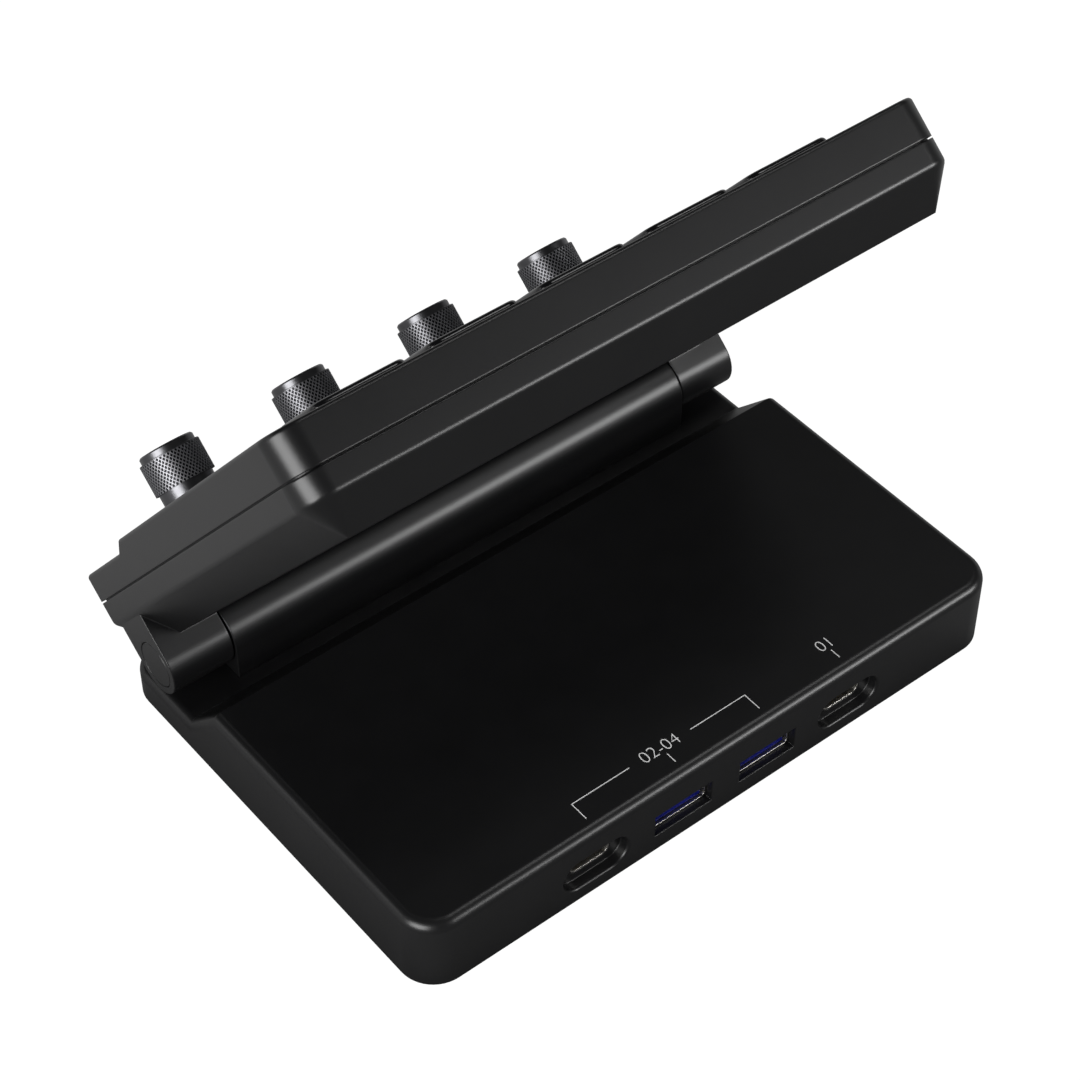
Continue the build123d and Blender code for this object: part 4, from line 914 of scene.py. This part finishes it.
class CONTROLLER_OT_pad(bpy.types.Operator):
    """Make the anti-slip pad with its pips"""

    bl_idname = "controller.pad"
    bl_label = "Anti-slip pad"

    def execute(self, context):
        sizes = context.scene.controller_pad
        # Black silicone rubber: matt, slightly dusty, with pips that catch the light one by one
        rubber = moulded(
            "matt_black_silicone", "#0b0b0b", "#141414", rough=0.7, grain=0.5, relief=0.012, IOR=1.41
        )
        low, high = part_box("anti_slip_pad")
        wide, deep = high.x - low.x, high.y - low.y
        face = low.z + sizes.height
        edge = sizes.height / 2
        sheet = loft([
            rounded(wide - 2 * edge, deep - 2 * edge, sizes.corner - edge, face),
            rounded(wide, deep, sizes.corner, face + edge),
            rounded(wide, deep, sizes.corner, high.z),
        ])
        columns = int((wide - 2 * sizes.margin) / sizes.pitch)
        rows = int((deep - 2 * sizes.margin) / sizes.pitch)
        tip = sizes.pip * 0.7
        pip = lathe([
            (0.0, face + edge), (sizes.pip, face + edge), (sizes.pip, face), (tip, low.z), (0.0, low.z),
        ], PIP_SIDES)
        pips = set_out(pip, columns, rows, sizes.pitch, sizes.pitch, (0.0, 0.0, 0.0), rubber)
        mesh = merged((sheet, pips))
        mesh.transform(Matrix.Translation(middle_of(low, high)))
        place_piece("pip_pad", mesh, "base", (rubber,), ("anti_slip_pad",))
        return {"FINISHED"}


class CONTROLLER_OT_marks(bpy.types.Operator):
    """Print the bracket, the ticks and the plain numerals over the sockets"""

    bl_idname = "controller.marks"
    bl_label = "Printed marks"

    def execute(self, context):
        sizes = context.scene.controller_marks
        white = context.scene.controller_colours.ink
        # Pad-printed white ink: flat and opaque, thinner here and there
        ink = moulded(
            "pad_printed_white_ink", shade(white, 0.85), white, rough=0.5, grain=0.12, relief=0.002, IOR=1.5
        )
        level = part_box("base_top_shell")[1].z
        half = sizes.line / 2
        front, rear = sizes.bracket_y - half, sizes.bracket_y + half
        lines = [
            (sizes.bracket_right - half, sizes.gap_right, front, rear),
            (sizes.gap_left, sizes.bracket_left + half, front, rear),
        ]
        ticks = (
            (sizes.bracket_right, rear), (sizes.bracket_left, rear),
            (sizes.middle, sizes.tick_start), (sizes.single, sizes.tick_start),
        )
        lines += [(at - half, at + half, start, sizes.tick_end) for at, start in ticks]
        marks = [bar(*line, level, level + sizes.ink) for line in lines]
        gap = (sizes.gap_right + sizes.gap_left) / 2
        for words, middle in (("02-04", gap), ("01", sizes.single)):
            text = bpy.data.curves.new("numerals", "FONT")
            text.body = words
            text.size = sizes.numeral * FONT_SHARE
            text.offset = -sizes.thin
            text.align_x = text.align_y = "CENTER"
            text.extrude = sizes.ink / 2
            letters = taken(put("numerals", text))
            # The numerals read from behind the controller
            place = Matrix.Translation((middle, sizes.bracket_y, level + sizes.ink / 2))
            letters.transform(place @ Matrix.Rotation(math.pi, 4, "Z"))
            marks.append(letters)
        place_piece("socket_marks", merged(marks), "base", (ink,))
        return {"FINISHED"}


class CONTROLLER_OT_caps(bpy.types.Operator):
    """Turn the flush caps in the lugs"""

    bl_idname = "controller.caps"
    bl_label = "Hinge caps"

    def execute(self, context):
        low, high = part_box("hinge_caps")
        radius = (high.z - low.z) / 2
        bevel = 0.12 * MM
        thick = 1.6 * MM
        # A fine gap round the cap shows as a dark line
        gap = 0.12 * MM
        # Satin black ABS again, from a smoother mould than the shells
        satin = moulded(
            "smooth_black_abs", "#0b0b0c", "#101011", rough=0.33, grain=0.3, relief=0.0008, IOR=1.54
        )
        disc = lathe([
            (0.0, -thick), (radius, -thick), (radius, -thick / 2), (radius - gap, -thick / 2),
            (radius - gap, -bevel), (radius - gap - bevel, 0.0), (0.0, 0.0),
        ], CAP_SIDES)
        centre = (low + high) / 2
        discs = []
        for side, end in ((1, high.x), (-1, low.x)):
            copy = disc.copy()
            turned = Matrix.Rotation(side * QUARTER_TURN, 4, "Y")
            copy.transform(Matrix.Translation((end, centre.y, centre.z)) @ turned)
            discs.append(copy)
        place_piece("lug_caps", merged(discs), "head", (satin,), ("hinge_caps",))
        return {"FINISHED"}


class CONTROLLER_OT_stage(bpy.types.Operator):
    """Set up the floor, the lamps and the camera"""

    bl_idname = "controller.stage"
    bl_label = "Studio"

    def execute(self, context):
        sizes = context.scene.controller_stage
        scene = context.scene
        scene.view_settings.view_transform = "Standard"
        sheet = bmesh.new()
        turns = even_turns(FLOOR_SIDES)
        # Two inner rings keep the faces near the controller small
        rings = [
            [sheet.verts.new(point) for point in circle(radius, height, turns)]
            for radius, height in ((0.5, 0.0), (3.0, 0.0), (sizes.floor, 0.0), (sizes.floor, sizes.wall))
        ]
        sheet.faces.new(rings[0])
        for inner, outer in zip(rings, rings[1:]):
            strip(sheet, outer, inner)
        mesh = plain(sheet)
        mesh.materials.append(studio_white())
        put("studio_floor", mesh)

        world = bpy.data.worlds.new("dim_studio")
        scene.world = world
        world.use_nodes = True
        world.node_tree.nodes.clear()
        sky = add(world.node_tree, "ShaderNodeBackground", {"Color": linear("#ffffff"), "Strength": 0.05})
        add(world.node_tree, "ShaderNodeOutputWorld", {"Surface": sky})

        # Way to each lamp, its distance, width and height in metres, and its power in watts
        middle = Vector((0.0, 0.0, 0.04))
        lamps = (
            ("top_softbox", (-0.43, -0.02, 0.9), 1.2, 0.3, 0.3, 1.2),
            ("rear_softbox", (-0.56, 0.74, 0.41), 1.2, 0.6, 0.3, 6.6),
            ("side_softbox", (0.88, 0.30, 0.34), 1.2, 0.8, 0.7, 14.0),
            ("front_softbox", (0.77, -0.55, 0.33), 1.3, 0.5, 0.4, 0.6),
        )
        for name, way, far, wide, high, power in lamps:
            light = bpy.data.lights.new(name, "AREA")
            light.shape = "RECTANGLE"
            light.size = wide
            light.size_y = high
            light.energy = power
            aim(put(name, light), middle + far * Vector(way).normalized(), middle)

        lens = bpy.data.cameras.new("photo_camera")
        lens.lens = sizes.lens
        lens.sensor_width = 36.0
        lens.clip_start = 0.01
        lens.clip_end = 100.0
        scene.camera = put("photo_camera", lens)
        aim(scene.camera, sizes.camera, sizes.target)
        return {"FINISHED"}


class CONTROLLER_PT_panel(bpy.types.Panel):
    """Lists the steps that dress the controller"""

    bl_idname = "CONTROLLER_PT_panel"
    bl_label = "Stream controller"
    bl_space_type = "VIEW_3D"
    bl_region_type = "UI"
    bl_category = "Controller"

    def draw(self, context):
        for step in STEPS:
            self.layout.operator(step.bl_idname)


GROUPS = {
    "controller_colours": FinishColours,
    "controller_dials": DialSizes,
    "controller_keys": KeySizes,
    "controller_screws": ScrewSizes,
    "controller_marks": MarkSizes,
    "controller_contacts": ContactSizes,
    "controller_pad": PadSizes,
    "controller_stage": StageSizes,
}
STEPS = (
    CONTROLLER_OT_stage,
    CONTROLLER_OT_shells,
    CONTROLLER_OT_inner,
    CONTROLLER_OT_sockets,
    CONTROLLER_OT_keys,
    CONTROLLER_OT_dials,
    CONTROLLER_OT_screws,
    CONTROLLER_OT_pad,
    CONTROLLER_OT_caps,
    CONTROLLER_OT_marks,
)


def register():
    for group in (*GROUPS.values(), *STEPS, CONTROLLER_PT_panel):
        bpy.utils.register_class(group)
    for name, group in GROUPS.items():
        setattr(bpy.types.Scene, name, bpy.props.PointerProperty(type=group))


def unregister():
    for name in GROUPS:
        delattr(bpy.types.Scene, name)
    for group in (CONTROLLER_PT_panel, *STEPS, *GROUPS.values()):
        bpy.utils.unregister_class(group)


def main():
    register()
    for step in STEPS:
        getattr(bpy.ops.controller, step.bl_idname.split(".")[1])()


if __name__ == "__main__":
    main()
